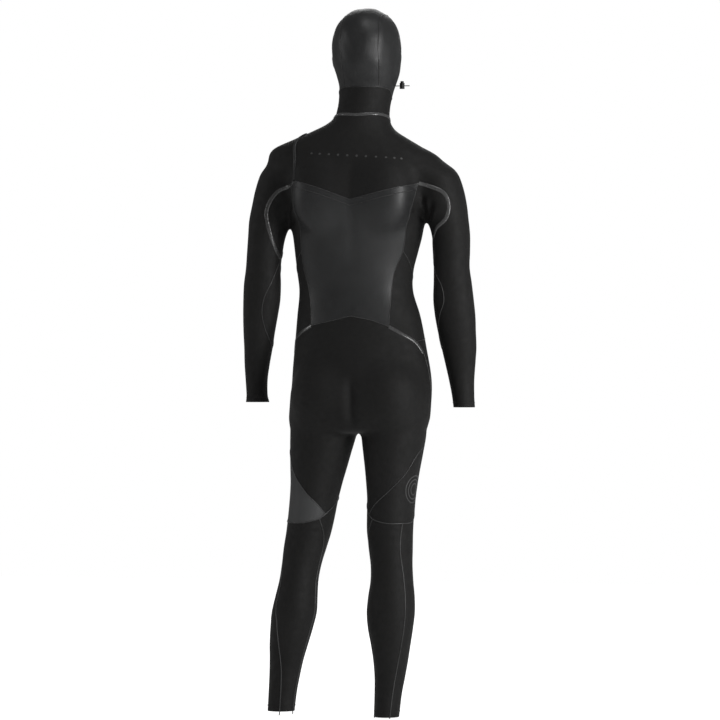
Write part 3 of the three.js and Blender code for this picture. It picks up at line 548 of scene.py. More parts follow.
def frame_of(path, normals, closed):
    """Unit vectors across a path that lies on the suit."""
    if closed:
        ahead = np.roll(path, -1, 0) - np.roll(path, 1, 0)
    else:
        ahead = np.gradient(path, axis=0)
    across = np.cross(ahead, normals)
    return across / np.linalg.norm(across, axis=1, keepdims=True)


def cutter(name, places, closed=False, low=-24.0, high=18.0, run_out=(1.2, 1.2)):
    """A thin ribbon through the sheet: 0.5 mm wide inside, flared to 2 mm at the outer face."""
    path, normals = smooth_path(places, 8.0, closed)
    across = frame_of(path, normals, closed)
    if not closed:
        for k, nxt, add in ((0, 1, run_out[0]), (-1, -2, run_out[1])):
            step = path[k] - path[nxt]
            path[k] += step / np.linalg.norm(step) * add
    profile = [(-0.25, low), (0.25, low), (0.25, -1.1), (1.3, 0.4), (1.3, high), (-1.3, high), (-1.3, 0.4),
               (-0.25, -1.1)]
    rings = [np.array([p + a * w + n * h for w, h in profile]) for p, a, n in zip(path, across, normals)]
    return outward(new_object(name, *swept(rings, closed), smooth=False))


def cut(target, tool, operation="DIFFERENCE"):
    """Applies one boolean to target and drops the tool."""
    modifier = target.modifiers.new("cut", "BOOLEAN")
    modifier.object, modifier.operation, modifier.solver = tool, operation, "MANIFOLD"
    done = bpy.data.meshes.new_from_object(target.evaluated_get(bpy.context.evaluated_depsgraph_get()))
    target.modifiers.clear()
    target.data = done
    bpy.data.objects.remove(tool)
    return target


def block(name, lo, hi):
    x, y, z = zip(lo, hi)
    points = [(x[i], y[j], z[k]) for k in (0, 1) for j in (0, 1) for i in (0, 1)]
    faces = [(0, 2, 3, 1), (4, 5, 7, 6), (0, 1, 5, 4), (2, 6, 7, 3), (0, 4, 6, 2), (1, 3, 7, 5)]
    return new_object(name, np.array(points), faces, smooth=False)


def oval_tube(name, grow, wall=None):
    """A level tube along Y round the face opening, solid or with a thin wall."""
    angles = np.linspace(0, 2 * math.pi, 96, endpoint=False)
    ring = lambda g, y: np.stack([FACE["x"] + (FACE["half_width"] + g) * np.cos(angles),
                                  np.full(96, float(y)),
                                  FACE["z"] + (FACE["half_height"] + g) * np.sin(angles)], 1)
    front, back_end = -170, -30
    rings = [ring(grow, front), ring(grow, back_end)]
    if wall is not None:
        rings += [ring(grow + wall, back_end), ring(grow + wall, front)]
    return outward(new_object(name, *swept(rings, wall is not None), smooth=False))


inner_points = form_points - form_normals * SHEET
count = len(form_points)
suit = new_object("suit_sheet", np.concatenate([form_points, inner_points]),
                  np.concatenate([form_quads, form_quads[:, ::-1] + count]))
print("sheet:", len(suit.data.vertices), "points")

# %% Cut the hems, the face opening and the seams
for name, (x0, x1) in {"left_leg": (150, 260), "right_leg": (-120, -30), "left_arm": (225, 325),
                       "right_arm": (-305, -215)}.items():
    cut(suit, block(f"{name}_hem_cut", (x0, -110, HEMS[name] - 60), (x1, 80, HEMS[name])))
cut(suit, oval_tube("face_cut", 0))
cut(suit, oval_tube("binding_cut", 8, 0.6))
cutters = []
for name, places in lines.items():
    reach = {}
    if "underarm" in name:
        reach = dict(low=-34.0, high=26.0)
    if "inseam" in name:
        reach = dict(high=9.0)
    if "calf" in name:
        reach = dict(run_out=(1.2, 12.0))
    cutters.append(cutter(f"{name}_cut", places, name in closed_lines, **reach))
rounds = []  # cutters whose boxes keep apart are joined, and cut in one go
for tool in cutters:
    box = coordinates(tool).min(0), coordinates(tool).max(0)
    for group in rounds:
        if all((box[0] > b[1]).any() or (box[1] < b[0]).any() for _, b in group):
            group.append((tool, box))
            break
    else:
        rounds.append([(tool, box)])
for group in rounds:
    first, *rest = [tool for tool, _ in group]
    mesh = bmesh.new()
    for tool in (first, *rest):
        mesh.from_mesh(tool.data)
    mesh.to_mesh(first.data)
    mesh.free()
    for tool in rest:
        bpy.data.objects.remove(tool)
    cut(suit, first)
cut(suit, block("crotch_cut", crotch - (22, 0.3, 25), crotch + (22, 0.3, 25)))
print("cut sheet:", len(suit.data.vertices), "points")

# %% [markdown]
# ## Naming the panels
# The cut sheet is one mesh with many loose parts. Each part is found by a place that lies on it,
# takes a name, and stands for the CAD nodes of the same stretch. Sleeves and legs run through the
# elbow and the knee in one piece, so they are left unparented, with their transform applied, instead of
# riding on one body.


# %% Loose parts
def loose_parts(obj):
    """The vertex numbers of each loose part with more than a handful of points."""
    data = obj.data
    edges = np.zeros(len(data.edges) * 2, int)
    data.edges.foreach_get("vertices", edges)
    edges = edges.reshape(-1, 2)
    label = np.arange(len(data.vertices))
    while True:
        low = label.copy()
        np.minimum.at(low, edges[:, 0], label[edges[:, 1]])
        np.minimum.at(low, edges[:, 1], label[edges[:, 0]])
        low = low[low]
        if (low == label).all():
            break
        label = low
    names, sizes = np.unique(label, return_counts=True)
    return [np.flatnonzero(label == k) for k, n in zip(names, sizes) if n > 60]


def extract(obj, keep, name):
    """The part of obj on the kept vertices, as a new object with smooth faces and crisp edges."""
    data, index = obj.data, np.full(len(obj.data.vertices), -1)
    index[keep] = np.arange(len(keep))
    starts, totals = np.zeros(len(data.polygons), int), np.zeros(len(data.polygons), int)
    data.polygons.foreach_get("loop_start", starts)
    data.polygons.foreach_get("loop_total", totals)
    corners = np.zeros(len(data.loops), int)
    data.loops.foreach_get("vertex_index", corners)
    chosen = index[corners[starts]] >= 0
    faces = [index[corners[s:s + n]].tolist() for s, n in zip(starts[chosen], totals[chosen])]
    fresh = bpy.data.meshes.new(name)
    fresh.from_pydata(coordinates(obj)[keep].tolist(), [], faces)
    fresh.shade_smooth()
    fresh.set_sharp_from_angle(angle=math.radians(38))
    return shown(name, fresh)


sheet_points = coordinates(suit)
parts = loose_parts(suit)
trees = [sheet_points[p] for p in parts]


def part_at(limb, z, degrees):
    """The loose part nearest to a place in the middle of the sheet."""
    place = metres(on(limb, z, degrees) - onto_skin([on(limb, z, degrees)])[1][0] * SHEET / 2)
    return int(np.argmin([np.linalg.norm(t - place, axis=1).min() for t in trees]))


print(len(parts), "panels")

# %% Panels, their bodies and the nodes they stand for
both = lambda text, side: text.replace("*", side)
panels = {
    "hood_centre_panel": ((head, 1690, 181), "smooth_skin", "hood", ["hood_centre"]),
    "hood_left_panel": ((head, 1640, 110), "smooth_skin", "hood", ["hood_side_left"]),
    "hood_right_panel": ((head, 1640, 250), "smooth_skin", "hood", ["hood_side_right"]),
    "hood_binding": ((head, 1640, 36), "binding", "hood", ["hood_face_binding"]),
    "collar_sleeve": ((trunk, 1530, 180), "jersey", ("suit", "hood"), ["collar"]),
    "back_panel_sheet": ((trunk, 1150, 180), "smooth_skin", "suit", ["back_panel"]),
    "back_band_sheet": ((trunk, 1279.5, 181), "smooth_skin", "suit", ["back_band"]),
    "chest_panel_sheet": ((trunk, 1200, 0), "smooth_skin", "suit", ["chest_panel"]),
    "front_panel_sheet": ((trunk, 850, 0), "jersey", "suit", ["front_panel"]),
    "seat_panel_sheet": ((trunk, 850, 180), "jersey", "suit", ["seat_panel"]),
    "yoke_and_right_sleeve": ((trunk, 1400, 180), "jersey", ("suit", "forearm_right"),
                              ["yoke_right_sleeve", "elbow_right", "forearm_right"]),
    "left_sleeve_sheet": ((left_arm, 1200, 90), "jersey", ("suit", "forearm_left"),
                          ["left_sleeve", "elbow_left", "forearm_left"]),
}
for name, s in sides.items():
    panels.update({
        both("underarm_panel_*", name): ((trunk, 1185, s["turn"](90)), "jersey", "suit",
                                         [both("underarm_*", name)]),
        both("side_panel_sheet_*", name): ((trunk, 1030, s["turn"](95)), "jersey", "suit",
                                           [both("side_panel_*", name)]),
        both("inner_forearm_panel_*", name): (
            (s["arm"], 1000, 250), "jersey", ("suit", both("forearm_*", name)),
            [both("elbow_inner_*", name), both("forearm_inner_*", name)]),
        both("lower_thigh_panel_*", name): (
            (s["leg"], 570, 120), "grey_panel" if name == "left" else "jersey", "suit",
            [both("lower_thigh_*", name)]),
        both("shin_panel_*", name): ((s["leg"], 200, 0), "jersey", ("suit", both("lower_leg_*", name)),
                                     [both("knee_*", name), both("shin_*", name)]),
        both("calf_panel_*", name): ((s["leg"], 300, 200), "jersey", ("suit", both("lower_leg_*", name)),
                                     [both("knee_back_*", name), both("calf_*", name)]),
    })


def belongs(obj, where):
    """Rides on one body; given two, it is left unparented with its transform applied."""
    if isinstance(where, str):
        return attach(obj, where)
    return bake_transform(obj)


pieces = {}
taken = {}
for name, (place, slot_name, where, nodes) in panels.items():
    k = part_at(*place)
    assert k not in taken, (name, taken.get(k))
    taken[k] = name
    piece = pieces[name] = extract(suit, parts[k], name)
    belongs(piece, where)
    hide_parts(*nodes)
    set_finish(piece, slot_name)
print("unclaimed parts:", [len(parts[k]) for k in range(len(parts)) if k not in taken])
bpy.data.objects.remove(suit)
print(len(pieces), "panels made")

# %% [markdown]
# ## Tapes, beads and stitches
# A tape is a strip of rubber that follows its seam. Its section is a low dome, and each point of
# the section is pulled onto the skin before it is raised, so the strip hugs the curve under it.
# The thin glue beads along the other seams and the rows of stitches follow a path too, and they
# repeat many times over, so two small Geometry Nodes trees make them from the seam lines.


# %% Strips on the skin
def strip(name, path, width, top, closed=False, flat=0.55, sunk=0.5):
    """A domed strip along a path on the suit: width and height above the skin in mm."""
    path, normals = path
    across = frame_of(path, normals, closed)
    spread = np.linspace(-1, 1, 9)
    rise = top * (1 - np.abs(spread) ** (2 / max(1 - flat, 0.1)))
    base = (path[:, None] + across[:, None] * (spread * width / 2)[None, :, None]).reshape(-1, 3)
    base, up = onto_skin(base)
    base += up * worn(base)[:, None]
    over = (base + up * np.tile(rise + 0.05, len(path))[:, None]).reshape(len(path), 9, 3)
    under = (base - up * sunk).reshape(len(path), 9, 3)[:, ::-1]
    piece = outward(new_object(name, *swept(list(np.concatenate([over, under], 1)), closed)))
    piece.data.set_sharp_from_angle(angle=math.radians(50))
    return piece


def add_strip(name, places, width, top, slot_name, where, nodes=(), closed=False, **shape):
    piece = strip(name, smooth_path(places, 4.0, closed), width, top, closed, **shape)
    belongs(piece, where)
    if nodes:
        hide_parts(*nodes)
    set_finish(piece, slot_name)
    pieces[name] = piece
    return piece


add_strip("neck_seam_tape", lines["neck"], 8, 1.3, "seam_tape", "suit", ["neck_tape"], closed=True)
add_strip("shoulder_raised_strip", lines["shoulder"], 8.5, 2.8, "smooth_skin", "suit", ["shoulder_strip"])
for name in sides:
    for seam_name, node in (("underarm_back", "underarm_tape"), ("underarm_front", "underarm_front_tape")):
        add_strip(f"{node}_strip_{name}", lines[f"{seam_name}_{name}"], 9.5, 1.3, "seam_tape", "suit",
                  [f"{node}_{name}"])
    add_strip(f"waist_tape_strip_{name}", lines[f"hip_seam_{name}"][:4], 9, 1.2, "seam_tape", "suit",
              [f"waist_tape_{name}"])
add_strip("zip_tape_strip", lines["zip"], 26, 1.0, "jersey", "suit", ["zip_tape"], flat=0.9)
print("tapes:", [n for n in pieces if "tape" in n])


# %% Node trees: a bead along a line, and a row of stitches
def geometry_tree(name, sizes):
    """An empty tree with Geometry in and out, a float input for each size, and a Material input."""
    tree = bpy.data.node_groups.new(name, "GeometryNodeTree")
    tree.interface.new_socket("Geometry", in_out="INPUT", socket_type="NodeSocketGeometry")
    for label, value in sizes.items():
        tree.interface.new_socket(label, in_out="INPUT", socket_type="NodeSocketFloat").default_value = value
    tree.interface.new_socket("Material", in_out="INPUT", socket_type="NodeSocketMaterial")
    tree.interface.new_socket("Geometry", in_out="OUTPUT", socket_type="NodeSocketGeometry")
    return tree, tree.nodes.new("NodeGroupInput"), tree.nodes.new("NodeGroupOutput")


def wire(tree, *links):
    """Joins each (from node, output, to node, input)."""
    for start, output, end, socket in links:
        tree.links.new(start.outputs[output], end.inputs[socket])


def finished(tree, source, result, start, output):
    """The end that both trees share: smooth faces, real geometry and the material."""
    smooth, real, paint = (tree.nodes.new(f"GeometryNode{kind}") for kind in (
        "SetShadeSmooth", "RealizeInstances", "SetMaterial"))
    wire(tree, (start, output, smooth, "Geometry"), (smooth, "Geometry", real, "Geometry"),
         (real, "Geometry", paint, "Geometry"), (source, "Material", paint, "Material"),
         (paint, "Geometry", result, "Geometry"))
    return tree


def bead_tree():
    """Edges in, a round bead out. Inputs: Radius, Material."""
    tree, source, result = geometry_tree("seam bead", {"Radius": 0.0008})
    curve, profile, sweep = (tree.nodes.new(f"GeometryNode{kind}") for kind in (
        "MeshToCurve", "CurvePrimitiveCircle", "CurveToMesh"))
    profile.inputs["Resolution"].default_value = 8
    sweep.inputs["Fill Caps"].default_value = True
    wire(tree, (source, "Geometry", curve, "Mesh"), (source, "Radius", profile, "Radius"),
         (curve, "Curve", sweep, "Curve"), (profile, "Curve", sweep, "Profile Curve"))
    return finished(tree, source, result, sweep, "Mesh")


def stitch_tree():
    """Edges in, a row of short threads out. Inputs: Spacing, Length, Thickness, Slant, Material."""
    tree, source, result = geometry_tree("stitch row", {
        "Spacing": 0.006, "Length": 0.004, "Thickness": 0.0006, "Slant": 0.0})
    curve, points, thread, place = (tree.nodes.new(f"GeometryNode{kind}") for kind in (
        "MeshToCurve", "CurveToPoints", "MeshIcoSphere", "InstanceOnPoints"))
    points.mode = "LENGTH"
    thread.inputs["Radius"].default_value = 0.5
    thread.inputs["Subdivisions"].default_value = 2
    size, slant = tree.nodes.new("ShaderNodeCombineXYZ"), tree.nodes.new("ShaderNodeCombineXYZ")
    tilt = tree.nodes.new("FunctionNodeRotateRotation")
    tilt.rotation_space = "LOCAL"
    wire(tree, (source, "Geometry", curve, "Mesh"), (curve, "Curve", points, "Curve"),
         (source, "Spacing", points, "Length"), (points, "Points", place, "Points"),
         (points, "Rotation", tilt, "Rotation"), (source, "Slant", slant, "Y"),
         (slant, "Vector", tilt, "Rotate By"), (tilt, "Rotation", place, "Rotation"),
         (thread, "Mesh", place, "Instance"), (source, "Thickness", size, "X"),
         (source, "Thickness", size, "Y"), (source, "Length", size, "Z"), (size, "Vector", place, "Scale"))
    return finished(tree, source, result, place, "Instances")


def line_mesh(name, paths):
    """Edges along several (points, closed) paths in working millimetres."""
    points, edges = [], []
    for path, closed in paths:
        first, n = len(points), len(path)
        points += list(path)
        edges += [(first + i, first + (i + 1) % n) for i in range(n if closed else n - 1)]
    data = bpy.data.meshes.new(name)
    data.from_pydata(metres(np.array(points)).tolist(), edges, [])
    return shown(name, data)


def grown(obj, tree, **values):
    """Runs a node tree on obj with its named inputs set, and keeps the result as a plain mesh."""
    modifier = obj.modifiers.new("grow", "NODES")
    modifier.node_group = tree
    for item in tree.interface.items_tree:
        if item.in_out == "INPUT" and item.name in values:
            modifier[item.identifier] = values[item.name]
    done = bpy.data.meshes.new_from_object(obj.evaluated_get(bpy.context.evaluated_depsgraph_get()))
    obj.modifiers.clear()
    obj.data = done
    return obj


bead, stitch = bead_tree(), stitch_tree()
print("node trees:", bead.name, "and", stitch.name)

# %% [markdown]
# ## Finishes
# The suit has few colours, so the difference between its parts is in how they shine. Jersey is a
# fine knit that scatters light; smooth skin is bare rubber with a faint mesh pressed into it; tape
# is poured rubber and nearly wet-looking. Three shader groups are shared: a knit, a pressed mesh
# and a slow cloudiness that keeps large areas from looking flat.


# %% Shader groups
def group(name, inputs, outputs):
    tree = bpy.data.node_groups.new(name, "ShaderNodeTree")
    kinds = {"float": "NodeSocketFloat", "color": "NodeSocketColor", "vector": "NodeSocketVector"}
    for label, (kind, value) in inputs.items():
        tree.interface.new_socket(label, in_out="INPUT", socket_type=kinds[kind]).default_value = value
    for label, kind in outputs.items():
        tree.interface.new_socket(label, in_out="OUTPUT", socket_type=kinds[kind])
    return tree, tree.nodes.new("NodeGroupInput"), tree.nodes.new("NodeGroupOutput")


def math_node(tree, operation, a, b=None, clamp=False):
    node = tree.nodes.new("ShaderNodeMath")
    node.operation, node.use_clamp = operation, clamp
    for socket, value in zip(node.inputs, (a, b)):
        if value is None:
            continue
        if isinstance(value, (int, float)):
            socket.default_value = value
        else:
            tree.links.new(value, socket)
    return node.outputs[0]


def knit_group():
    """Rows of knitted loops. Out: Height, and Lint, a fine mask of pale fibres."""
    tree, source, out = group("knit", {"Loops per metre": ("float", 900.0)},
                              {"Height": "float", "Lint": "float"})
    place = tree.nodes.new("ShaderNodeTexCoord")
    waves = []
    for direction, profile in (("DIAGONAL", "SIN"), ("Z", "SIN")):
        wave = tree.nodes.new("ShaderNodeTexWave")
        wave.bands_direction, wave.wave_profile = direction, profile
        wave.inputs["Distortion"].default_value = 1.2
        wave.inputs["Detail Scale"].default_value = 0.6
        tree.links.new(place.outputs["Object"], wave.inputs["Vector"])
        tree.links.new(math_node(tree, "MULTIPLY", source.outputs["Loops per metre"], 0.32),
                       wave.inputs["Scale"])
        waves.append(wave.outputs["Fac"])
    tree.links.new(math_node(tree, "MULTIPLY", waves[0], waves[1]), out.inputs["Height"])
    noise = tree.nodes.new("ShaderNodeTexNoise")
    noise.inputs["Scale"].default_value = 2200.0
    noise.inputs["Detail"].default_value = 2.0
    tree.links.new(place.outputs["Object"], noise.inputs["Vector"])
    lint = math_node(tree, "MULTIPLY", math_node(tree, "SUBTRACT", noise.outputs["Fac"], 0.55), 5.0, True)
    tree.links.new(lint, out.inputs["Lint"])
    return tree


def pressed_mesh_group():
    """The fine diamond mesh pressed into smooth-skin rubber. Out: Height."""
    tree, source, out = group("pressed mesh", {"Cells per metre": ("float", 420.0)}, {"Height": "float"})
    place, cells = tree.nodes.new("ShaderNodeTexCoord"), tree.nodes.new("ShaderNodeTexVoronoi")
    cells.feature = "DISTANCE_TO_EDGE"
    cells.inputs["Randomness"].default_value = 0.25
    tree.links.new(place.outputs["Object"], cells.inputs["Vector"])
    tree.links.new(source.outputs["Cells per metre"], cells.inputs["Scale"])
    tree.links.new(math_node(tree, "MULTIPLY", cells.outputs["Distance"], 3.0, True), out.inputs["Height"])
    return tree


def cloudy_group():
    """Slow unevenness over hands' breadths, and smaller scuffs. Out: Cloud and Scuff, both 0 to 1."""
    tree, source, out = group("cloudiness", {"Seed": ("float", 0.0)}, {"Cloud": "float", "Scuff": "float"})
    place = tree.nodes.new("ShaderNodeTexCoord")
    for label, scale, detail in (("Cloud", 7.0, 2.0), ("Scuff", 60.0, 6.0)):
        noise = tree.nodes.new("ShaderNodeTexNoise")
        noise.noise_dimensions = "4D"
        noise.inputs["Scale"].default_value = scale
        noise.inputs["Detail"].default_value = detail
        tree.links.new(place.outputs["Object"], noise.inputs["Vector"])
        tree.links.new(source.outputs["Seed"], noise.inputs["W"])
        lifted = math_node(tree, "SUBTRACT", noise.outputs["Fac"], 0.3)
        tree.links.new(math_node(tree, "MULTIPLY", lifted, 2.5, True), out.inputs[label])
    return tree


knit, pressed_mesh, cloudiness = knit_group(), pressed_mesh_group(), cloudy_group()
print("shader groups:", knit.name, pressed_mesh.name, cloudiness.name)


# %% Finishes built from the groups
def finish(name, dark, light, rough, relief=None, relief_depth=0.0002, relief_inputs=None, seed=0.0,
           lint=0.0, **sockets):
    """A material whose colour and roughness drift between two values, with a fine relief."""
    material = bpy.data.materials.new(name)
    material.use_nodes = True
    tree = material.node_tree
    shader = tree.nodes["Principled BSDF"]
    cloud = tree.nodes.new("ShaderNodeGroup")
    cloud.node_tree = cloudiness
    cloud.inputs["Seed"].default_value = seed
    mix = tree.nodes.new("ShaderNodeMix")
    mix.data_type = "RGBA"
    mix.inputs["A"].default_value, mix.inputs["B"].default_value = (*dark, 1), (*light, 1)
    tree.links.new(cloud.outputs["Cloud"], mix.inputs["Factor"])
    colour = mix.outputs["Result"]
    spread = tree.nodes.new("ShaderNodeMapRange")
    spread.inputs["To Min"].default_value, spread.inputs["To Max"].default_value = rough
    tree.links.new(cloud.outputs["Scuff"], spread.inputs["Value"])
    tree.links.new(spread.outputs["Result"], shader.inputs["Roughness"])
    if relief:
        detail = tree.nodes.new("ShaderNodeGroup")
        detail.node_tree = relief
        for label, value in (relief_inputs or {}).items():
            detail.inputs[label].default_value = value
        bump = tree.nodes.new("ShaderNodeBump")
        bump.inputs["Distance"].default_value = relief_depth
        bump.inputs["Strength"].default_value = 0.6
        tree.links.new(detail.outputs["Height"], bump.inputs["Height"])
        tree.links.new(bump.outputs["Normal"], shader.inputs["Normal"])
        if lint:
            fibres = tree.nodes.new("ShaderNodeMix")
            fibres.data_type = "RGBA"
            fibres.inputs["B"].default_value = (*[min(c * 3 + 0.03, 1) for c in light], 1)
            share = math_node(tree, "MULTIPLY", detail.outputs["Lint"], lint)
            tree.links.new(share, fibres.inputs["Factor"])
            tree.links.new(colour, fibres.inputs["A"])
            colour = fibres.outputs["Result"]
    tree.links.new(colour, shader.inputs["Base Color"])
    for label, value in sockets.items():
        shader.inputs[label.replace("_", " ")].default_value = value
    return material


def grey(value, warm=0.0):
    """Linear colour of a display grey from 0 to 255, a little warm or cool."""
    c = (value / 255) ** 2.2
    return (c * (1 + warm), c, c * (1 - warm))


finishes = {
    "jersey": finish("jersey", grey(25, 0.04), grey(29, 0.04), (0.6, 0.74), knit, 0.00025, lint=0.2,
                     Sheen_Weight=0.08, Sheen_Roughness=0.4, Specular_IOR_Level=0.35),
    "smooth_skin": finish("smooth_skin_rubber", grey(41, -0.02), grey(55, -0.02), (0.36, 0.5), pressed_mesh,
                          0.00012, seed=2.0, Specular_IOR_Level=0.5),
    "grey_panel": finish("grey_panel_rubber", grey(62, -0.02), grey(78, -0.02), (0.42, 0.56), pressed_mesh,
                         0.0001, seed=3.0),
    "seam_tape": finish("poured_seam_tape", grey(62), grey(84), (0.2, 0.34), None, seed=4.0,
                        Coat_Weight=0.6, Coat_Roughness=0.12),
    "binding": finish("edge_binding", grey(20), grey(30), (0.4, 0.55), None, seed=5.0),
    "plastic": finish("moulded_plastic", grey(20), grey(28), (0.32, 0.5), None, seed=6.0),
    "metal": finish("satin_metal", grey(150), grey(185), (0.22, 0.4), None, seed=7.0, Metallic=1.0),
    "cord": finish("woven_cord", grey(18), grey(34), (0.6, 0.8), knit, 0.0003,
                   {"Loops per metre": 1600.0}, seed=8.0, lint=0.4),
}
bead_finish = finish("seam_bead", grey(60), grey(84), (0.25, 0.42), None, seed=9.0)
thread_finish = finish("thread", grey(40), grey(58), (0.5, 0.7), None, seed=10.0)
print_finish = finish("pale_print", grey(66), grey(84), (0.4, 0.55), None, seed=11.0)
print(len(bpy.data.materials), "materials")


def paint(obj, material):
    obj.data.materials.clear()
    obj.data.materials.append(material)
    return obj


for name, piece in pieces.items():
    paint(piece, finishes[piece["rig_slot"]])
print(len(pieces), "pieces painted")

# %% [markdown]
# ## Seam beads and stitches
# Every glued seam has a thin bead of rubber over it that catches the light, and the hems, the
# face binding and the zip tape are stitched. Lines that cross a joint go on a piece of their own,
# left unparented with its transform applied like the panel below them; a line mesh is kept for each body or
# pair of bodies.


# %% Beads by body
def bead_piece(name, keys, where, radius=0.00075, lift=0.15):
    paths = []
    for key in keys:
        closed = key in closed_lines
        path, normals = smooth_path(lines[key], 5.0, closed)
        if "inseam" in key:  # the first stretch runs under the crotch, where both sides meet
            path, normals = path[path[:, 2] < 676], normals[path[:, 2] < 676]
        paths.append((path + normals * (worn(path) + lift)[:, None], closed))
    obj = grown(line_mesh(name, paths), bead, Radius=radius, Material=bead_finish)
    belongs(obj, where)
    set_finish(obj, "seam_tape")
    pieces[name] = obj
    return obj


bead_piece("hood_seam_beads", ["hood_left", "hood_right", "chin"], "hood")
bead_piece("hood_edge_bead", ["hood_edge"], ("suit", "hood"))
bead_piece("torso_seam_beads", ["front_waist"] + [f"{k}_{s}" for s in sides for k in (
    "back", "back_top", "band_edge", "back_bottom", "side_seam", "chest_edge", "hip_seam")], "suit")
bead_piece("thigh_seam_beads", [f"{k}_{s}" for s in sides for k in ("thigh", "thigh_front", "inseam")],
           "suit", radius=0.0009)
for name in sides:
    bead_piece(f"forearm_seam_beads_{name}", [f"forearm_back_{name}", f"forearm_front_{name}"],
               ("suit", f"forearm_{name}"), radius=0.0009)
    bead_piece(f"leg_seam_beads_{name}", [f"knee_{name}", f"calf_outer_{name}", f"calf_inner_{name}"],
               ("suit", f"lower_leg_{name}"), radius=0.0013)
print("bead triangles:", sum(len(o.data.loop_triangles) or len(o.data.polygons) * 2
                             for n, o in pieces.items() if "bead" in n))


# %% Stitched edges
def level_ring(limb, z, count=160):
    return np.array([on(limb, z, 360 * i / count) for i in range(count)])


def stitch_piece(name, paths, where, spacing, length, slant=0.0, thickness=0.0007, lift=0.25):
    laid = []
    for path, closed in paths:
        path, normals = onto_skin(path)
        laid.append((path + normals * (worn(path) + lift)[:, None], closed))
    obj = grown(line_mesh(name, laid), stitch, Spacing=spacing, Length=length, Thickness=thickness,
                Slant=slant, Material=thread_finish)
    belongs(obj, where)
    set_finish(obj, "cord")
    pieces[name] = obj
    return obj


angles = np.linspace(0, 2 * math.pi, 240, endpoint=False)


def face_ring(grow):
    """A ring round the face opening, found on the hood in front of the face."""
    x = FACE["x"] + (FACE["half_width"] + grow) * np.cos(angles)
    z = FACE["z"] + (FACE["half_height"] + grow) * np.sin(angles)
    y = np.full(len(x), -140.0)
    for _ in range(60):
        y = np.where(body(x, y, z) > 0, y + 2, y)
    return np.stack([x, y, z], 1)


stitch_piece("binding_stitches", [(face_ring(5.5), True), (face_ring(11), True)], "hood", 0.005, 0.0036)
for name, s in sides.items():
    hem, cuff = s["leg"][1][0][0] + 14, s["arm"][1][0][0] + 12
    stitch_piece(f"hem_stitches_{name}", [(level_ring(s["leg"], hem), True)], f"lower_leg_{name}", 0.004,
                 0.0052, slant=0.7)
    stitch_piece(f"cuff_stitches_{name}", [(level_ring(s["arm"], cuff), True)], f"forearm_{name}", 0.004,
                 0.0046, slant=0.7)
zip_path, zip_normals = smooth_path(lines["zip"], 5.0)
zip_across = frame_of(zip_path, zip_normals, False)
stitch_piece("zip_stitches", [(zip_path + zip_across * w, False) for w in (-10.5, 10.5)], "suit", 0.0042,
             0.003, lift=1.0)
print("stitch rows on", [n for n in pieces if "stitches" in n])

# %% [markdown]
# ## Zip, cord and lock
# The slider, its pull, the stops and the cord lock are hard parts whose CAD shape is right, so
# they stay and only get their finish. The chain is rebuilt tooth by tooth along the arc that the
# CAD chain follows, and the short drawcord becomes a round woven cord.


# %% Zip teeth along the arc
def chain_frame():
    """The arc's axis and radius, and the chain's two ends and middle, measured on the CAD chain's own solid.
    """
    co = coordinates(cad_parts["zip_teeth"])
    lo, hi = co.min(0), co.max(0)
    left, right = co[co[:, 0] > hi[0] - 0.004].mean(0), co[co[:, 0] < lo[0] + 0.004].mean(0)
    middle = co[np.abs(co[:, 0] - co[:, 0].mean()) < 0.012].mean(0)
    a, b, c = left[:2], middle[:2], right[:2]
    axis = np.linalg.solve(2 * np.array([b - a, c - a]), [b @ b - a @ a, c @ c - a @ a])
    return axis, float(np.linalg.norm(middle[:2] - axis)), left, right, middle


axis, radius, left_end, right_end, middle = chain_frame()
start, stop = (math.atan2(e[0] - axis[0], axis[1] - e[1]) for e in (right_end, left_end))
tooth_points, tooth_faces = [], []
pitch = 0.0026  # metres from tooth to tooth
count_teeth = int((stop - start) * radius / pitch)
slope = math.radians(31.2)  # the chest's upward slope under the zip
for i in range(count_teeth):
    t = start + (stop - start) * (i + 0.5) / count_teeth
    out = np.array([math.sin(t) * math.cos(slope), -math.cos(t) * math.cos(slope), math.sin(slope)])
    ahead = np.array([math.cos(t), math.sin(t), 0.0])
    up = np.cross(out, ahead)
    centre = np.array([axis[0] + radius * math.sin(t), axis[1] - radius * math.cos(t), middle[2]])
    centre = centre + up * (0.0006 if i % 2 else -0.0006)
    first = len(tooth_points)
    for h, w, l in ((-1.05, 1.9, 0.9), (0.5, 1.9, 0.9), (1.05, 1.3, 0.55)):
        for sw, sl in ((-1, -1), (1, -1), (1, 1), (-1, 1)):
            tooth_points.append(centre + (out * h + up * w * sw + ahead * l * sl) / 1000)
    for k in (0, 4):
        tooth_faces += [tuple(first + k + j for j in (a, (a + 1) % 4, (a + 1) % 4 + 4, a + 4))
                        for a in range(4)]
    tooth_faces += [(first + 3, first + 2, first + 1, first), tuple(first + 8 + a for a in range(4))]
teeth = outward(new_object("zip_chain", np.array(tooth_points) * 1000 + NECK, tooth_faces, smooth=False))
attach(teeth, "suit")
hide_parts("zip_teeth")
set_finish(teeth, "plastic")
paint(teeth, finishes["plastic"])
pieces["zip_chain"] = teeth
print(count_teeth, "teeth on a radius of", round(radius * 1000), "mm")

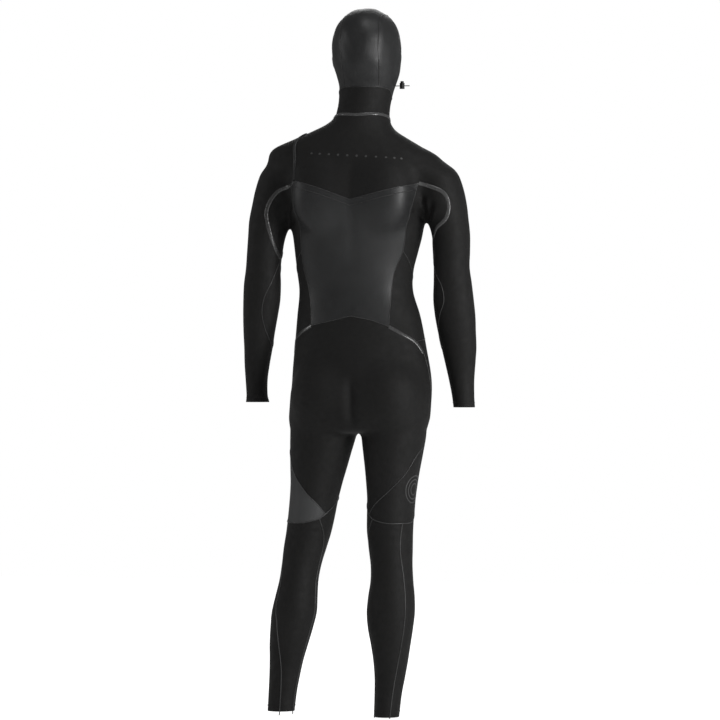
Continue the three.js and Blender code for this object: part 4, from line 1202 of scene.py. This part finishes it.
# %% Drawcord
lo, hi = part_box("hood_drawcord")
mid_y, mid_z, strand = (lo.y + hi.y) / 2, (lo.z + hi.z) / 2, 0.0013
bend = [(lo.x + 0.0023 - strand * math.sin(a), mid_y - strand * math.cos(a))
        for a in np.linspace(0, math.pi, 13)]
cord_line = [(hi.x + 0.001, mid_y - strand), *bend, (hi.x + 0.001, mid_y + strand)]
cord_points = np.array([(x, y, mid_z) for x, y in cord_line])
ahead = np.gradient(cord_points, axis=0)
ahead /= np.linalg.norm(ahead, axis=1, keepdims=True)
side = np.cross(ahead, (0, 0, 1))
ring = np.linspace(0, 2 * math.pi, 16, endpoint=False)
rings = [p + 0.00098 * (np.cos(ring)[:, None] * s + np.sin(ring)[:, None] * np.array([0, 0, 1.0]))
         for p, s in zip(cord_points, side)]
cord_piece = outward(new_object("drawcord_loop", *[
    np.concatenate(rings) * 1000 + NECK, swept(rings, False)[1]]))
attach(cord_piece, "hood")
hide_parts("hood_drawcord")
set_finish(cord_piece, "cord")
paint(cord_piece, finishes["cord"])
pieces["drawcord_loop"] = cord_piece
for node, slot_name in (("zip_slider", "metal"), ("zip_pull", "cord"), ("zip_stop_left", "plastic"),
                        ("zip_stop_right", "plastic"), ("cord_lock_barrel", "plastic"),
                        ("cord_lock_button", "plastic"), ("cord_lock_spring", "metal")):
    paint(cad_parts[node], finishes[slot_name])
print("hard parts kept: the slider, pull, two stops and the lock's three parts")

# %% [markdown]
# ## Plain printed marks
# Two small prints sit on the jersey: a row of equal dots across the upper back, and nested plain
# ovals on the right thigh. They are thin raised prints, laid on the skin like the tapes.


# %% Prints
def print_piece(name, paths, width, where="suit", top=0.22):
    made = [strip(f"{name}_{i}", onto_skin(path), width, top, closed, sunk=0.4)
            for i, (path, closed) in enumerate(paths)]
    mesh = bmesh.new()
    for obj in made:
        mesh.from_mesh(obj.data)
    mesh.to_mesh(made[0].data)
    mesh.free()
    for obj in made[1:]:
        bpy.data.objects.remove(obj)
    piece = made[0]
    piece.name = name
    belongs(piece, where)
    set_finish(piece, "seam_tape")
    paint(piece, print_finish)
    pieces[name] = piece
    return piece


dots = []
for i in range(11):
    u = i / 10
    centre = on(trunk, 1404 - 15 * u, 157 + 63 * u)
    centre, normal = (v[0] for v in onto_skin([centre]))
    level = np.cross(normal, (0, 0, 1))
    level /= np.linalg.norm(level)
    rise = np.cross(level, normal)
    a = np.linspace(0, 2 * math.pi, 14, endpoint=False)[:, None]
    dots.append((centre + 1.5 * (np.cos(a) * level + np.sin(a) * rise), True))
print_piece("dot_row_print", dots, 3.2)
ovals = []
for grow in (1.0, 0.72, 0.42):
    a = np.linspace(0, 2 * math.pi, 48, endpoint=False)
    ovals.append((np.array([on(right_leg, 563 + 34 * grow * math.sin(t), 104 + 27 * grow * math.cos(t))
                            for t in a]), True))
print_piece("oval_print", ovals, 3.0)
print("prints:", [n for n in pieces if "print" in n])

# %% [markdown]
# ## Floor and finish
# A pale floor lies just under the lower trouser hem.

# %% Floor
HALF, UNDER = 6000, -12.5  # half the floor's side and its height, mm
corners = [(-HALF, -HALF, UNDER), (HALF, -HALF, UNDER), (HALF, HALF, UNDER), (-HALF, HALF, UNDER)]
floor = new_object("pale_floor", np.array(corners), [(0, 1, 2, 3)], smooth=False)
floor_finish = finish("pale_floor", grey(246), grey(250), (0.8, 0.9))
floor_tree = floor_finish.node_tree
floor_shader = floor_tree.nodes["Principled BSDF"]
direct = floor_tree.nodes.new("ShaderNodeLightPath")  # to the eye only, as bright as the surround
floor_tree.links.new(direct.outputs["Is Camera Ray"], floor_shader.inputs["Emission Strength"])
floor_shader.inputs["Emission Color"].default_value = (0.9, 0.9, 0.9, 1)
paint(floor, floor_finish)
